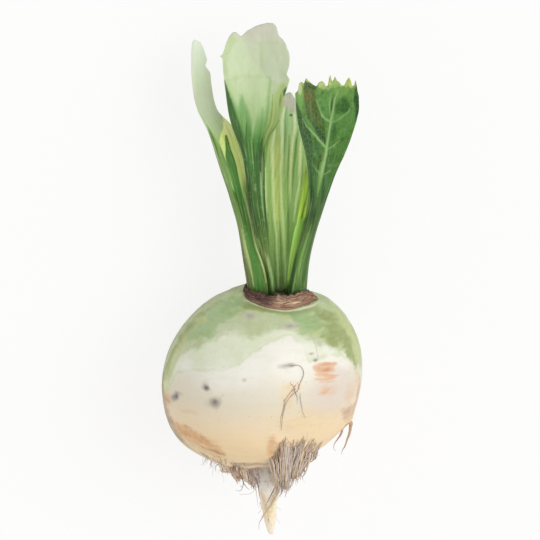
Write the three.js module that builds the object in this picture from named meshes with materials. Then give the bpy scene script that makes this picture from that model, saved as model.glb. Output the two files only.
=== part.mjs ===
// A white beet lying on its side on a table: a swollen root with its tap root, the dry collar at
// the crown, five leaves, and the side roots and rootlets.
//
// Millimetres. +Y runs along the beet from the tap root to the leaves, +X is its right-hand side
// and +Z is up. The origin is on the table, in the middle of the flat spot that the root rests on.

import * as THREE from "three";

// ---- Driving dimensions ----

const GLOBE_RADIUS = 45.5; // half the width of the swollen root at its widest level
const CROWN_RISE = 42.5; // from the widest level to the top of the dome, before the crown flattens it
const BASE_DROP = 41.2; // from the widest level down to where the tap root leaves
const BASE_FULLNESS = 2.3; // exponent of the lower outline: 2 is an ellipse, more is fuller
const REST_HEIGHT = 43.5; // middle of the root above the table: less than the radius, so it lies flat

const TAP_NECK = 4.8; // radius of the tap root where it leaves the globe
const TAP_TIP = -81; // the end of the tap root
const TAP_TAPER = 0.4; // exponent of the taper: lower stays thick for longer
const TAP_DROOP = 0.004; // how fast the tap root bends down: millimetres per square millimetre
const FILLET = 3; // how sharply the globe runs into the tap root: higher is sharper

const FURROWS = { angle: 1.15, depth: 0.03 }; // two of them, half a turn apart
const KNOB = { angle: 0.22, y: -18, spread: 0.14, length: 5, rise: 0.035 };

const LEAN = 0.11; // the root leans this much to the right for each unit towards the crown
const TAP_SHIFT = 6.3; // the tap root leaves this far to the right of the leaning axis

const CROWN = { x: 8.5, z: 5.5, y: 39.2 }; // middle of the flat crown
const CROWN_TILT = { x: -0.06, z: -0.109 }; // how the crown falls away to the right and to the top
const CLEARANCE = 0.4; // gap between a leaf's foot and the crown that it grows from
const COLLAR_CLEARANCE = 0.6; // more under the collar, whose underside spans the rounded shoulder

const COLLAR_OUTSIDE = { x: 8.6, z: 5.5, radiusX: 17.2, radiusZ: 17.6 };
const COLLAR_INSIDE = { x: 6.9, z: 4.2, radiusX: 14.3, radiusZ: 11.8 };
const COLLAR_HEIGHT = 4.1;

const BLADE = 0.9; // thickness of a leaf blade
const MIDRIB = { halfWidth: 1.3, depth: 0.9 }; // what is left of the stalk within the blade
const TIP_RADIUS = 0.25; // free end of a rootlet

// ---- Finishes ----

function finish(colour, roughness) {
  return new THREE.MeshStandardMaterial({ color: colour, roughness, metalness: 0 });
}

const rootSkin = finish(0xe6e0cc, 0.6);
const dryCollar = finish(0x8a6650, 0.85);
const paleLeaf = finish(0xa9c290, 0.55);
const ribbedLeaf = finish(0x8fac68, 0.5);
const darkLeaf = finish(0x4f7a3e, 0.55);
const limeLeaf = finish(0x9cc04e, 0.5);
const rootlet = finish(0xb59a7c, 0.8);

// ---- Helpers ----

const lerp = THREE.MathUtils.lerp;
const ease = THREE.MathUtils.smoothstep;

const beet = new THREE.Group();
beet.position.z = REST_HEIGHT;

// Moves every point of a geometry by a function that changes the point in place.
function reshape(geometry, place) {
  const position = geometry.getAttribute("position");
  const point = new THREE.Vector3();
  for (let i = 0; i < position.count; i++) {
    place(point.fromBufferAttribute(position, i));
    position.setXYZ(i, point.x, point.y, point.z);
  }
  geometry.computeVertexNormals();
  return geometry;
}

function add(name, geometry, material) {
  const mesh = new THREE.Mesh(geometry, material);
  mesh.name = name;
  beet.add(mesh);
}

// ---- The root: one solid with its tap root ----

function globeRadius(y) {
  if (y >= 0) return GLOBE_RADIUS * Math.sqrt(Math.max(0, 1 - (y / CROWN_RISE) ** 2));
  const drop = Math.min(1, -y / BASE_DROP) ** BASE_FULLNESS;
  return GLOBE_RADIUS * (1 - drop) ** (1 / BASE_FULLNESS);
}

function tapRadius(y) {
  const rise = THREE.MathUtils.clamp((y - TAP_TIP) / (-BASE_DROP - TAP_TIP), 0, 1);
  return y < 0 ? TAP_NECK * rise ** TAP_TAPER : 0;
}

function rootRadius(y) {
  return (globeRadius(y) ** FILLET + tapRadius(y) ** FILLET) ** (1 / FILLET);
}

// Slow swellings, the two shallow furrows that the rootlets grow from, and the knob on the right
// that carries a side root. The result scales the radius.
function lumps(angle, y) {
  const swelling = 0.008 * Math.cos(3 * angle + 0.7) + 0.006 * Math.sin(2 * angle - y / 16);
  const low = 1 - ease(y, -36, -6);
  const inFurrow = Math.max(0, Math.cos(2 * (angle - FURROWS.angle))) ** 6;
  const fromKnob = Math.hypot((angle - KNOB.angle) / KNOB.spread, (y - KNOB.y) / KNOB.length);
  const knob = KNOB.rise * Math.exp(-(fromKnob ** 2));
  return 1 + (swelling - FURROWS.depth * low * inFurrow + knob) * ease(y, -46, -34);
}

// The curved line that the root grew along.
function axisX(y) {
  const tapSide = TAP_SHIFT * (1 - ease(y, -47, -33));
  const tapDrift = 0.05 * Math.max(0, -47 - y);
  return LEAN * Math.max(y, -36) + tapSide + tapDrift;
}

function axisZ(y) {
  return -TAP_DROOP * Math.max(0, -BASE_DROP - y) ** 2;
}

function crownLevel(x, z) {
  return CROWN.y + CROWN_TILT.x * (x - CROWN.x) + CROWN_TILT.z * (z - CROWN.z);
}

// The crown side of the root: the flat crown in the middle and the dome's shoulder round it.
function topLevel(x, z) {
  let y = CROWN.y;
  for (let i = 0; i < 4; i++) {
    const across = x - axisX(y);
    const radius = Math.hypot(across, z) / lumps(Math.atan2(z, across), y);
    y = CROWN_RISE * Math.sqrt(1 - (radius / GLOBE_RADIUS) ** 2);
  }
  return Math.min(y, crownLevel(x, z));
}

function rootPoint(p) {
  const angle = Math.atan2(p.z, p.x);
  const radius = Math.hypot(p.x, p.z) * lumps(angle, p.y);
  p.x = axisX(p.y) + radius * Math.cos(angle);
  p.z = Math.max(axisZ(p.y) + radius * Math.sin(angle), -REST_HEIGHT);
  p.y = Math.min(p.y, crownLevel(p.x, p.z));
}

function root() {
  const levels = [];
  const quarter = Math.PI / 2;
  const tapSteps = 9;
  for (let i = 0; i < tapSteps; i++) {
    levels.push(lerp(TAP_TIP, -BASE_DROP - 1, (i / tapSteps) ** 1.5));
  }
  for (let i = 11; i >= 1; i--) levels.push(-BASE_DROP * Math.sin((quarter * i) / 11));
  for (let i = 0; i <= 12; i++) levels.push(CROWN_RISE * Math.sin((quarter * i) / 12));
  const profile = levels.map((y) => new THREE.Vector2(rootRadius(y), y));
  profile[0].x = 0;
  profile.at(-1).x = 0;
  add("root", reshape(new THREE.LatheGeometry(profile, 48), rootPoint), rootSkin);
}

// ---- The collar: what is left of old leaf bases, a low sloping ring round the stalks ----

function collar() {
  // The section runs from the inside of the ring, 0, to the outside, 1, and back underneath.
  const section = [
    [0.04, 0],
    [0.5, 0],
    [1, 0],
    [0.97, 0.22],
    [0.55, 0.6],
    [0.2, 1],
    [0, 0.96],
    [0.04, 0],
  ].map(([across, up]) => new THREE.Vector2(1 + across, up));
  const place = (p) => {
    const angle = Math.atan2(p.z, p.x);
    const across = Math.hypot(p.x, p.z) - 1;
    const edge = (ring) => [
      ring.x + ring.radiusX * Math.cos(angle),
      ring.z + ring.radiusZ * Math.sin(angle),
    ];
    const [insideX, insideZ] = edge(COLLAR_INSIDE);
    const [outsideX, outsideZ] = edge(COLLAR_OUTSIDE);
    p.x = lerp(insideX, outsideX, across);
    p.z = lerp(insideZ, outsideZ, across);
    p.y = topLevel(p.x, p.z) + COLLAR_CLEARANCE + COLLAR_HEIGHT * p.y;
  };
  add("crown_collar", reshape(new THREE.LatheGeometry(section, 40), place), dryCollar);
}

// ---- Leaves: a stalk that thins and widens into a blade with a midrib ----

// A station is [y, left edge x, right edge x, height z, turn, cup]. Turn lifts the right edge and
// lowers the left one, and cup lifts both edges above the middle. The foot follows the crown.
function leaf(name, material, { stations, stalkDepth, bladeFrom, bladeFull, rows }) {
  const columns = 8;
  const along = new THREE.CubicInterpolant(
    stations.map((s) => s[0]),
    stations.flatMap((s) => s.slice(1)),
    5,
  );
  const [first, last] = [stations[0][0], stations.at(-1)[0]];
  const place = (p) => {
    const y = lerp(first, last, p.y + 0.5);
    const s = Math.sign(p.x) * Math.abs(p.x) ** 1.35; // columns gather at the midrib
    const [left, right, middle, turn, cup] = along.evaluate(y);
    const halfWidth = (right - left) / 2;
    const blade = ease(y, bladeFrom, bladeFull);
    const ribHalfWidth = lerp(halfWidth, MIDRIB.halfWidth, blade);
    const ribDepth = lerp(stalkDepth - BLADE, MIDRIB.depth, blade);
    const offRib = Math.min(1, Math.abs(s * halfWidth) / ribHalfWidth);
    const thickness = BLADE + ribDepth * Math.sqrt(1 - offRib ** 2);
    p.x = lerp(left, right, (s + 1) / 2);
    p.z = Math.max(middle + turn * s + cup * (s * s - 0.35) + p.z * thickness, -REST_HEIGHT);
    p.y = Math.max(y, crownLevel(p.x, p.z) + CLEARANCE);
  };
  add(name, reshape(new THREE.BoxGeometry(2, 1, 1, columns, rows, 1), place), material);
}

function leaves() {
  leaf("leaf_front", paleLeaf, {
    stalkDepth: 4.6,
    bladeFrom: 80,
    bladeFull: 120,
    rows: 26,
    stations: [
      [39.4, 2, 5.8, 5.8, 0.8, -0.2],
      [48.6, 1.2, 5.2, 6.1, 0.9, -0.2],
      [55.4, -0.2, 4, 7, 0.8, -0.2],
      [63, -1.7, 3, 8.5, 0.2, -0.3],
      [73.4, -4.4, 2.3, 10.1, -0.4, -0.3],
      [81.7, -6.2, 1.7, 10.6, -0.7, -0.3],
      [88.5, -6.7, 1.3, 10.5, -0.8, 0],
      [96.6, -7.4, 1.3, 10.1, -0.7, 0.6],
      [105.5, -9.2, 1.4, 9, -0.4, 1.4],
      [111.5, -11.4, 3, 7.7, 0, 2],
      [116.7, -13.4, 6.5, 6.3, 0.2, 2.6],
      [122.7, -14.9, 8.8, 4.7, 0.4, 3],
      [129.9, -15.9, 10.2, 2.5, 0.6, 3.3],
      [139.7, -17.1, 11.7, -0.3, 0.8, 3.4],
      [146.5, -17.3, 11.9, -2.1, 0.8, 3.2],
      [152.5, -16, 10.6, -3.9, 0.6, 2.6],
      [156.4, -12.6, 8.4, -4.9, 0.4, 1.6],
      [159.4, -3, 6.3, -5.7, 0, 0.5],
    ],
  });
  leaf("leaf_left", ribbedLeaf, {
    stalkDepth: 3.8,
    bladeFrom: 84,
    bladeFull: 114,
    rows: 26,
    stations: [
      [40, -6.3, 2.9, 6.8, 2.4, 1.6],
      [48.2, -7.5, 2, 6.8, 2.3, 1.6],
      [54.7, -8.5, 0.5, 6.5, 2, 1.5],
      [62.1, -9.5, -2.1, 5.9, 1.2, 1.5],
      [72.1, -11.2, -3.8, 5.3, 0, 1.4],
      [80.2, -13.4, -5.4, 4.5, -0.8, 1.4],
      [87.8, -15.6, -6.6, 3.5, -1.4, 1.4],
      [94.9, -18, -7.6, 2.5, -1.8, 1.4],
      [103.6, -20.8, -9.8, 0.9, -2, 1.5],
      [110.1, -22.9, -12, -0.7, -1.8, 1.5],
      [115.7, -25.4, -14.7, -2.5, -1.5, 1.3],
      [118.4, -27.2, -18, -3.7, -1.2, 1.1],
      [121.9, -28.8, -20.3, -5.3, -1, 0.9],
      [126.1, -30.1, -21.6, -7.1, -0.8, 0.8],
      [131.5, -31, -22.5, -9.5, -0.7, 0.8],
      [137.3, -31.6, -23.5, -12.1, -0.6, 0.8],
      [143.2, -31.5, -25.3, -14.7, -0.5, 0.6],
      [147.4, -31.1, -26.6, -16.3, -0.3, 0.4],
      [150.2, -30.6, -28.6, -17.3, 0, 0.2],
    ],
  });
  leaf("leaf_back", ribbedLeaf, {
    stalkDepth: 4.6,
    bladeFrom: 84,
    bladeFull: 110,
    rows: 22,
    stations: [
      [39.6, 2.8, 11.3, 1.4, 0, 0.6],
      [46, 1.6, 12, -0.4, 0, 0.8],
      [54, -1.6, 12.9, -2.6, 0, 1],
      [64, -4, 15, -5, 0.1, 1.2],
      [76.8, -5, 18, -9.6, 0.2, 1.3],
      [87.3, -4.2, 20.2, -14.4, 0.3, 1.4],
      [96.1, -2, 22, -19.9, 0.3, 1.4],
      [103.1, 0.9, 22.4, -25.6, 0.3, 1.3],
      [109.3, 2.2, 21.4, -31.3, 0.2, 1.1],
      [114.7, 4.5, 19.4, -36.6, 0.1, 0.8],
      [118.6, 7.7, 17.2, -40.2, 0, 0.4],
      [121.2, 10.9, 15.3, -42.9, 0, 0],
    ],
  });
  leaf("leaf_right", darkLeaf, {
    stalkDepth: 4.4,
    bladeFrom: 76,
    bladeFull: 104,
    rows: 24,
    stations: [
      [38.4, 11.2, 19.8, 8.2, -1.6, -0.8],
      [54.7, 14.1, 21.3, 7.8, -1.5, -0.8],
      [66.6, 17.2, 23.9, 7.2, -1.3, -0.7],
      [77, 19.7, 27, 6.6, -1, -0.4],
      [85.6, 20.7, 29.7, 6.1, -0.8, 0.2],
      [95.6, 20.4, 33.2, 5.5, -0.5, 1.2],
      [103.5, 19.3, 36.7, 4.5, -0.3, 2.2],
      [110.6, 17.6, 39.4, 3.3, -0.1, 3],
      [117.5, 15.9, 41.6, 1.9, 0, 3.6],
      [122.7, 15.2, 42.9, 0.7, 0, 3.8],
      [127.9, 14.9, 42.9, -0.7, 0, 4],
      [132.1, 14.9, 42.5, -1.9, 0, 4],
      [135.1, 16.2, 41.4, -2.7, 0, 3.8],
    ],
  });
  leaf("leaf_inner", limeLeaf, {
    stalkDepth: 1.7,
    bladeFrom: 60,
    bladeFull: 90,
    rows: 14,
    stations: [
      [39, 10.3, 13, 3.8, -0.2, 0.3],
      [53.5, 12, 15, 3.4, -0.2, 0.3],
      [64.5, 13.7, 18, 2.5, -0.3, 0.5],
      [75.6, 16, 20.3, 1, -0.3, 0.7],
      [85.8, 17.4, 21.6, -0.9, -0.2, 0.7],
      [91.9, 18.4, 21.4, -2.5, 0, 0.5],
      [96.3, 19.6, 20.7, -3.8, 0, 0.2],
    ],
  });
}

// ---- Side roots and rootlets: thin tapered strands that lie on the skin and then hang free ----

// Height of the root's skin above its middle level. Beside the root it is the lowest level.
function skinHeight(x, y) {
  const across = x - axisX(y);
  let height = Math.sqrt(Math.max(0, rootRadius(y) ** 2 - across ** 2));
  for (let i = 0; i < 3; i++) {
    const radius = rootRadius(y) * lumps(Math.atan2(height, across), y);
    if (radius <= Math.abs(across)) return -GLOBE_RADIUS;
    height = Math.sqrt(radius ** 2 - across ** 2);
  }
  return height;
}

// How much longer an upright lift must be on a slope, to lift a strand clear of the skin.
function slopeFactor(x, y) {
  const step = 0.5;
  const here = skinHeight(x, y);
  const rise = [skinHeight(x + step, y) - here, skinHeight(x, y + step) - here];
  return Math.min(3, Math.hypot(1, rise[0] / step, rise[1] / step));
}

function onSkin(x, y, lift) {
  return [x, y, skinHeight(x, y) + lift * slopeFactor(x, y)];
}

function strand(name, points, baseRadius, steps = 8) {
  const line = new THREE.CatmullRomCurve3(points.map((p) => new THREE.Vector3(...p)));
  const frames = line.computeFrenetFrames(steps);
  const at = new THREE.Vector3();
  const place = (p) => {
    const share = THREE.MathUtils.clamp(p.y + 0.5, 0, 1);
    const step = Math.round(share * steps);
    const radius = lerp(baseRadius, TIP_RADIUS, share);
    const [side, up] = [frames.normals[step], frames.binormals[step]];
    const [across, over] = [p.x * radius, p.z * radius];
    line.getPointAt(share, at);
    p.copy(at).addScaledVector(side, across).addScaledVector(up, -over);
  };
  add(name, reshape(new THREE.CylinderGeometry(1, 1, 1, 6, steps), place), rootlet);
}

// A route from a point on the skin to a free tip. It lies over the skin, lifted by the first amount
// at its start and the second from its first third on, and sways to one side on the way.
function overSkin({ from, tip, lift, sway }) {
  const count = 7;
  const points = [];
  const start = onSkin(...from, lift[0])[2];
  for (let i = 0; i <= count; i++) {
    const share = i / count;
    const x = lerp(from[0], tip[0], share) + sway * Math.sin(Math.PI * share);
    const y = lerp(from[1], tip[1], share);
    const hang = lerp(start, tip[2], share ** 1.6);
    const above = lerp(lift[0], lift[1], ease(share, 0, 0.35));
    points.push([x, y, Math.max(hang, onSkin(x, y, above)[2])]);
  }
  return points;
}

// A fan of strands: the n-th one starts and ends between the first and the last.
function tuft(name, count, { first, last, lift, radius }) {
  for (let n = 0; n < count; n++) {
    const share = n / (count - 1);
    const between = (a, b) => a.map((value, i) => lerp(value, b[i], share));
    const from = between(first.from, last.from);
    const tip = between(first.tip, last.tip);
    from[1] += 1.3 * Math.sin(2.1 * n + 1); // the strands don't start in one straight row
    tip[1] += 3.4 * Math.sin(2.4 * n); // and no two are of one length
    const route = overSkin({ from, tip, lift, sway: 0.7 * Math.sin(1.3 * n) });
    const number = String(n + 1).padStart(2, "0");
    strand(`${name}_${number}`, route, radius * (1 + 0.25 * Math.sin(1.7 * n)));
  }
}

function rootlets() {
  tuft("rootlet_right_upper", 7, {
    first: { from: [5, -17.5], tip: [5.8, -56, 14] },
    last: { from: [25, -30.5], tip: [20.5, -42.5, 11] },
    lift: [1.3, 3],
    radius: 0.75,
  });
  tuft("rootlet_right_lower", 6, {
    first: { from: [3, -30], tip: [8.4, -50, 7.5] },
    last: { from: [19.5, -33.5], tip: [16.6, -44, 7] },
    lift: [1.25, 1.25],
    radius: 0.7,
  });
  tuft("rootlet_left", 7, {
    first: { from: [-19.4, -34.8], tip: [-15.8, -44.5, 5] },
    last: { from: [-3.4, -37.6], tip: [-1.6, -51.5, 8] },
    lift: [1.2, 1.2],
    radius: 0.6,
  });
}

// ---- The larger side roots ----

// A root that branched on the front of the beet, and lies flat on the skin.
function topSideRoot() {
  const trunk = [
    [12.8, 16],
    [16, 16.4],
    [18.2, 14.6],
    [18.4, 11.8],
    [16.8, 9],
    [15.6, 5.6],
    [12.8, 3.6],
    [10.8, 0.2],
    [9.6, -5],
    [8.2, -12.6],
  ];
  const fork = [
    [17, 4.6],
    [17, 0.6],
    [18, -3.8],
    [19.2, -7.6],
  ];
  const lie = (route) => route.map(([x, y]) => onSkin(x, y, 0.95));
  strand("side_root_top", lie(trunk), 0.5, 16);
  strand("side_root_top_fork", lie(fork), 0.45);
}

// Two roots that hang from the knob.
function rightSideRoots() {
  const outer = [
    [41, -20, 9.8],
    [40.8, -24, 8],
    [39.8, -28, 6],
    [38.5, -33.4, 3.4],
    [36.8, -38.6, 0.6],
  ];
  const inner = [
    onSkin(36.8, -20.5, 1.2),
    [35.8, -24.5, 14],
    [34, -28, 11.4],
    [32.9, -31.4, 8.8],
    [34.2, -34.4, 7],
    [37, -35.2, 6],
  ];
  strand("side_root_right", outer, 1.2, 9);
  strand("side_root_right_fork", inner, 0.8, 10);
}

function tapRootBranches() {
  const branch = [
    [8.2, -52, 2],
    [6.8, -56, 4.2],
    [3.6, -61.6, 4.6],
    [0.6, -67, 2.4],
    [-1.4, -71.6, 0.2],
    [-2, -76, -1.8],
  ];
  const hair = [
    [-2.6, -52.6, 4],
    [-4.6, -55, 3.2],
    [-7.2, -57, 1.8],
    [-11, -57.6, 0],
  ];
  strand("tap_root_branch", branch, 0.8, 10);
  strand("tap_root_hair", hair, 0.4);
}

root();
collar();
leaves();
rootlets();
topSideRoot();
rightSideRoots();
tapRootBranches();

export default beet;
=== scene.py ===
# %% [markdown]
# # A white beet, pulled and laid on a table
#
# The beet is one living thing: a swollen root with its tap root, a dry ring where older leaves
# have dropped off, five leaves, and tufts of rootlets. The CAD model gives its true size and
# place, and every visible piece below is grown on it, in metres, without moving anything.

# %% Load the packed model
import math

import bpy
import numpy as np
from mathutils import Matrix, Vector
from mathutils.bvhtree import BVHTree


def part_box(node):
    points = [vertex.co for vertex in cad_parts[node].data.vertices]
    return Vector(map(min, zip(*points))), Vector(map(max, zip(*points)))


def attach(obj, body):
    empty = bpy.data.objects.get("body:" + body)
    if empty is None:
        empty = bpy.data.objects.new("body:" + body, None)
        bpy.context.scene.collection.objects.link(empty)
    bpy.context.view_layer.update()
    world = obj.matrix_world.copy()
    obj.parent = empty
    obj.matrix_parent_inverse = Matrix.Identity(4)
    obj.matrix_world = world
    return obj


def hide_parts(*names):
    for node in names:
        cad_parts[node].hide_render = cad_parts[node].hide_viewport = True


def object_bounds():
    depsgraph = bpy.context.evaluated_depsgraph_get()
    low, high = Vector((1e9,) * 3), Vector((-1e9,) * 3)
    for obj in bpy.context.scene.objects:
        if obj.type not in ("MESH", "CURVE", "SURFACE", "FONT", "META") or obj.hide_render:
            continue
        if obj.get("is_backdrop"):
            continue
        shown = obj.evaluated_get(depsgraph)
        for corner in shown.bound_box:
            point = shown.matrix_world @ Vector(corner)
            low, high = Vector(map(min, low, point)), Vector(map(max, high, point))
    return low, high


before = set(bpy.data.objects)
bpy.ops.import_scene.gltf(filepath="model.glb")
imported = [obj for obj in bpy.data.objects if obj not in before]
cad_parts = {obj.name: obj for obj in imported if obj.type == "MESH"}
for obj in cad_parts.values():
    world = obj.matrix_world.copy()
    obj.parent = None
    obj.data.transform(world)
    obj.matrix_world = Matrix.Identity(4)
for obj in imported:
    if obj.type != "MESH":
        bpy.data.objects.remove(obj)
cad_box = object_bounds()
print("CAD box in mm:", [round(v * 1000, 1) for corner in cad_box for v in corner])

# %% [markdown]
# ## Units
#
# A beet is easiest to think of in millimetres, so the shapes are worked out in millimetres and
# turned into metres as a mesh is made. The y axis runs along the beet, from the tap root to the
# leaves. Long lists of numbers are kept as text, a comma after each row, and read by one helper.

# %% Units and the beet's own coordinates
MM = 0.001
AXIS_HEIGHT = 43.5  # of the root's middle line above the table
CROWN_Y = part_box("root")[1].y / MM
LEAN = 0.11  # the root leans to the right by this share of y
LEANS_FROM = -36
TAP_STEP = 6.3  # how far the tap root is set to the right, in mm
TAP_BENDS = (-47, -33)  # between these y
TIP_LEAN = 0.05
WHITE = (1, 1, 1, 1)
scene = bpy.context.scene


def added(name, data):
    """A new object in the scene that carries a mesh, a lamp or a camera."""
    made = bpy.data.objects.new(name, data)
    scene.collection.objects.link(made)
    return made


def read_rows(text):
    """Rows of numbers: a comma ends a row, and spaces part its numbers."""
    return [tuple(map(float, row.split())) for row in text.split(",")]


def evenly(count):
    """Shares from 0 to 1, evenly spaced."""
    return np.linspace(0, 1, count)


def unit(vectors):
    """Rows of vectors, each one made 1 long."""
    return vectors / np.maximum(np.linalg.norm(vectors, axis=1, keepdims=True), 1e-9)


def ease(values, start, end):
    """0 before start, 1 after end, and a smooth turn between them."""
    share = np.clip((np.asarray(values, float) - start) / (end - start), 0, 1)
    return share * share * (3 - 2 * share)


def middle_x(y):
    """The curved line that the root grew along, as the CAD model has it."""
    side_step = TAP_STEP * (1 - ease(y, *TAP_BENDS))
    at_tip = TIP_LEAN * np.maximum(0, TAP_BENDS[0] - y)
    return LEAN * np.maximum(y, LEANS_FROM) + side_step + at_tip


print("The crown is at y", round(CROWN_Y, 1), "mm")

# %% [markdown]
# ## Camera
#
# The beet lies on its side and is seen from above, a little from the leaf end. A long lens from
# far away keeps the leaves and the root at one scale, as a botanical drawing does.

# %% Camera
LENS_TILT = math.radians(15)
CAMERA_DISTANCE = 1.35
FRAMING_SHIFT = Vector((3.5, 9.7, 0)) * MM

aim = (cad_box[0] + cad_box[1]) / 2 + FRAMING_SHIFT
aim.z = AXIS_HEIGHT * MM
towards_camera = Vector((0, math.sin(LENS_TILT), math.cos(LENS_TILT)))
camera = added("camera", bpy.data.cameras.new("camera"))
camera.data.lens = 200
camera.data.sensor_width = 36
camera.location = aim + towards_camera * CAMERA_DISTANCE
camera.rotation_euler = (-LENS_TILT, 0, 0)
scene.camera = camera
scene.view_settings.view_transform = "Standard"
print("Camera at", [round(v, 3) for v in camera.location])

# %% [markdown]
# ## Shader maths as plain sums
#
# Blender's materials are graphs of nodes. Here a small class wraps one output of a node, so that
# a + b adds a Math node, and a Graph holds the nodes of one material. Then the colour of a skin
# can be written as an expression. Colours and vectors go through Mix and Vector Math nodes.

# %% Values


def srgb(red, green, blue):
    """A colour as a painter would name it, from 0 to 255, for a shader socket."""
    shares = [channel / 255 for channel in (red, green, blue)]
    linear = [((v + 0.055) / 1.055) ** 2.4 if v > 0.04045 else v / 12.92 for v in shares]
    return (*linear, 1)


def maths(operation, swapped=False):
    """A method that joins a value and another one, or a plain number, with a Math node."""

    def join(self, other):
        first, second = (other, self) if swapped else (self, other)
        return self.graph.node("Math", {"operation": operation}, {0: first, 1: second})

    return join


class Value:
    """One number, vector or colour in a shader graph, as it comes out of a node."""

    def __init__(self, graph, socket):
        self.graph = graph
        self.socket = socket

    __add__ = __radd__ = maths("ADD")
    __mul__ = __rmul__ = maths("MULTIPLY")
    __sub__ = maths("SUBTRACT")
    __rsub__ = maths("SUBTRACT", swapped=True)
    __truediv__ = maths("DIVIDE")
    at_least = maths("MAXIMUM")
    turn_from = maths("ARCTAN2")

    def __neg__(self):
        return self * -1


print("Half grey, 128 of 255, is", round(srgb(128, 128, 128)[0], 3), "in a shader")

# %% Graphs


class Graph:
    """The shader graph of a material or of the world, empty at first."""

    def __init__(self, owner):
        owner.use_nodes = True
        self.tree = owner.node_tree
        self.tree.nodes.clear()

    def node(self, kind, settings=None, inputs=None, output=0):
        """Adds a node: its settings first, then the values or links of its sockets. A colour
        may be given as red, green and blue from 0 to 255."""
        made = self.tree.nodes.new("ShaderNode" + kind)
        for key, setting in (settings or {}).items():
            setattr(made, key, setting)
        for key, value in (inputs or {}).items():
            socket = made.inputs[key]
            if isinstance(value, Value):
                self.tree.links.new(value.socket, socket)
            else:
                is_paint = socket.type == "RGBA" and len(value) == 3
                socket.default_value = srgb(*value) if is_paint else value
        return Value(self, made.outputs[output]) if made.outputs else None

    def seen_directly(self):
        """1 where the camera, a reflection or clear glass looks, and 0 for light."""
        camera_ray, mirrored, through_glass = [
            self.node("LightPath", output=f"Is {ray} Ray")
            for ray in ("Camera", "Glossy", "Transmission")
        ]
        return camera_ray.at_least(mirrored).at_least(through_glass)


print("A graph can give:", [name for name in vars(Graph) if name[0] != "_"])

# %% [markdown]
# ## A finish for living skin
#
# Every part of the beet has colours that run into each other, so a finish needs the same few
# things again and again: the place on the beet in millimetres, soft steps, patches, cloudy
# noise, ramps whose stops are in millimetres, and one colour that others are laid over.

# %% Colours laid over colours


class Layers(Graph):
    """A graph with one colour, which other colours are laid over."""

    def measured(self, name):
        """A number that was stored on every point of the mesh."""
        return self.node("Attribute", {"attribute_name": name}, output="Fac")

    def step(self, value, start, end, shape="SMOOTHSTEP"):
        """0 below start and 1 above end, with a soft edge."""
        inputs = {"Value": value, "From Min": start, "From Max": end}
        return self.node("MapRange", {"interpolation_type": shape}, inputs)

    def mix(self, below, above, mask, how="MIX"):
        """Colour above laid over colour below where the mask is 1."""
        settings = {"data_type": "RGBA", "blend_type": how, "clamp_factor": True}
        return self.node("Mix", settings, {0: mask, 6: below, 7: above}, output=2)

    def lay(self, mask, colour, how="MIX"):
        """Lays one more colour over the finish where the mask is 1."""
        self.colour = self.mix(self.colour, colour, mask, how)

    def stops(self, value, stops, shape):
        """What changes along a value, through stops of a place and a colour."""
        first, last = stops[0][0], stops[-1][0]
        ramp = self.node("ValToRGB", inputs={0: self.step(value, first, last, "LINEAR")})
        bar = ramp.socket.node.color_ramp
        bar.interpolation = shape
        while len(bar.elements) < len(stops):
            bar.elements.new(1)
        for element, (at, colour) in zip(bar.elements, stops):
            element.position = (at - first) / (last - first)
            element.color = colour
        return ramp

    def ramp(self, value, text):
        """A colour along a value, from rows of a place, red, green and blue."""
        return self.stops(value, [(at, srgb(*paint)) for at, *paint in read_rows(text)], "LINEAR")

    def curve(self, value, text):
        """A number along a value, from rows of a place and a number."""
        pairs = read_rows(text)
        lowest = min(number for _, number in pairs)
        span = max(number for _, number in pairs) - lowest
        greys = [(at, (*[(number - lowest) / span] * 3, 1)) for at, number in pairs]
        return self.stops(value, greys, "EASE") * span + lowest


print("Ways to lay a colour:", [name for name in vars(Layers) if name[0] != "_"])

# %% A finish placed on the beet


class Finish(Layers):
    """One material while it is being made, with its coordinates in mm from the root's middle."""

    def __init__(self, name):
        self.material = bpy.data.materials.new(name)
        super().__init__(self.material)
        place = self.node("TexCoord", output="Object")
        in_mm = self.node("VectorMath", {"operation": "SCALE"}, {0: place, "Scale": 1 / MM})
        drop = (0, 0, -AXIS_HEIGHT)
        self.place = self.node("VectorMath", {"operation": "ADD"}, {0: in_mm, 1: drop})
        self.x, self.y, self.z = [
            self.node("SeparateXYZ", inputs={0: self.place}, output=axis) for axis in "XYZ"
        ]

    def stretched(self, *scales):
        """The place with each axis scaled, for a pattern that runs one way."""
        return self.node("VectorMath", {"operation": "MULTIPLY"}, {0: self.place, 1: scales})

    def noise(self, size, detail=3, roughness=0.55, place=None, seed=0):
        """Cloudy values round 0, with lumps about the given size in mm."""
        inputs = {"Scale": 1 / size, "Detail": detail, "Roughness": roughness, "W": seed}
        inputs["Vector"] = place or self.place
        return self.node("TexNoise", {"noise_dimensions": "4D"}, inputs) - 0.5

    def patch(self, across, along, centre, radii):
        """1 in the middle of a soft oval patch and 0 outside it."""
        side = (across - centre[0]) / radii[0]
        lift = (along - centre[1]) / radii[1]
        return 1 - self.step(side * side + lift * lift, 0.1, 1)

    def close(self, roughness, height, constants=None):
        """Ends the material. The height is in mm, and a Bump node turns it into shading."""
        depth = {"Height": height, "Strength": 1, "Distance": MM}
        inputs = {"Base Color": self.colour, "Roughness": roughness, **(constants or {})}
        inputs["Normal"] = self.node("Bump", inputs=depth)
        surface = self.node("BsdfPrincipled", inputs=inputs)
        self.node("OutputMaterial", inputs={"Surface": surface})
        print(self.material.name, "has", len(self.tree.nodes), "nodes")
        return self.material


print("Ways to vary it:", [name for name in vars(Finish) if name[0] != "_"])

# %% [markdown]
# ## Table and light
#
# The table is plain and nearly white, and keeps the beet's soft shadow. Its own glow for the
# camera makes it white all round. A wide lamp from the right gives the root its round shape, and
# the world's even light fills the rest, so a colour renders about as it is written.

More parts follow.
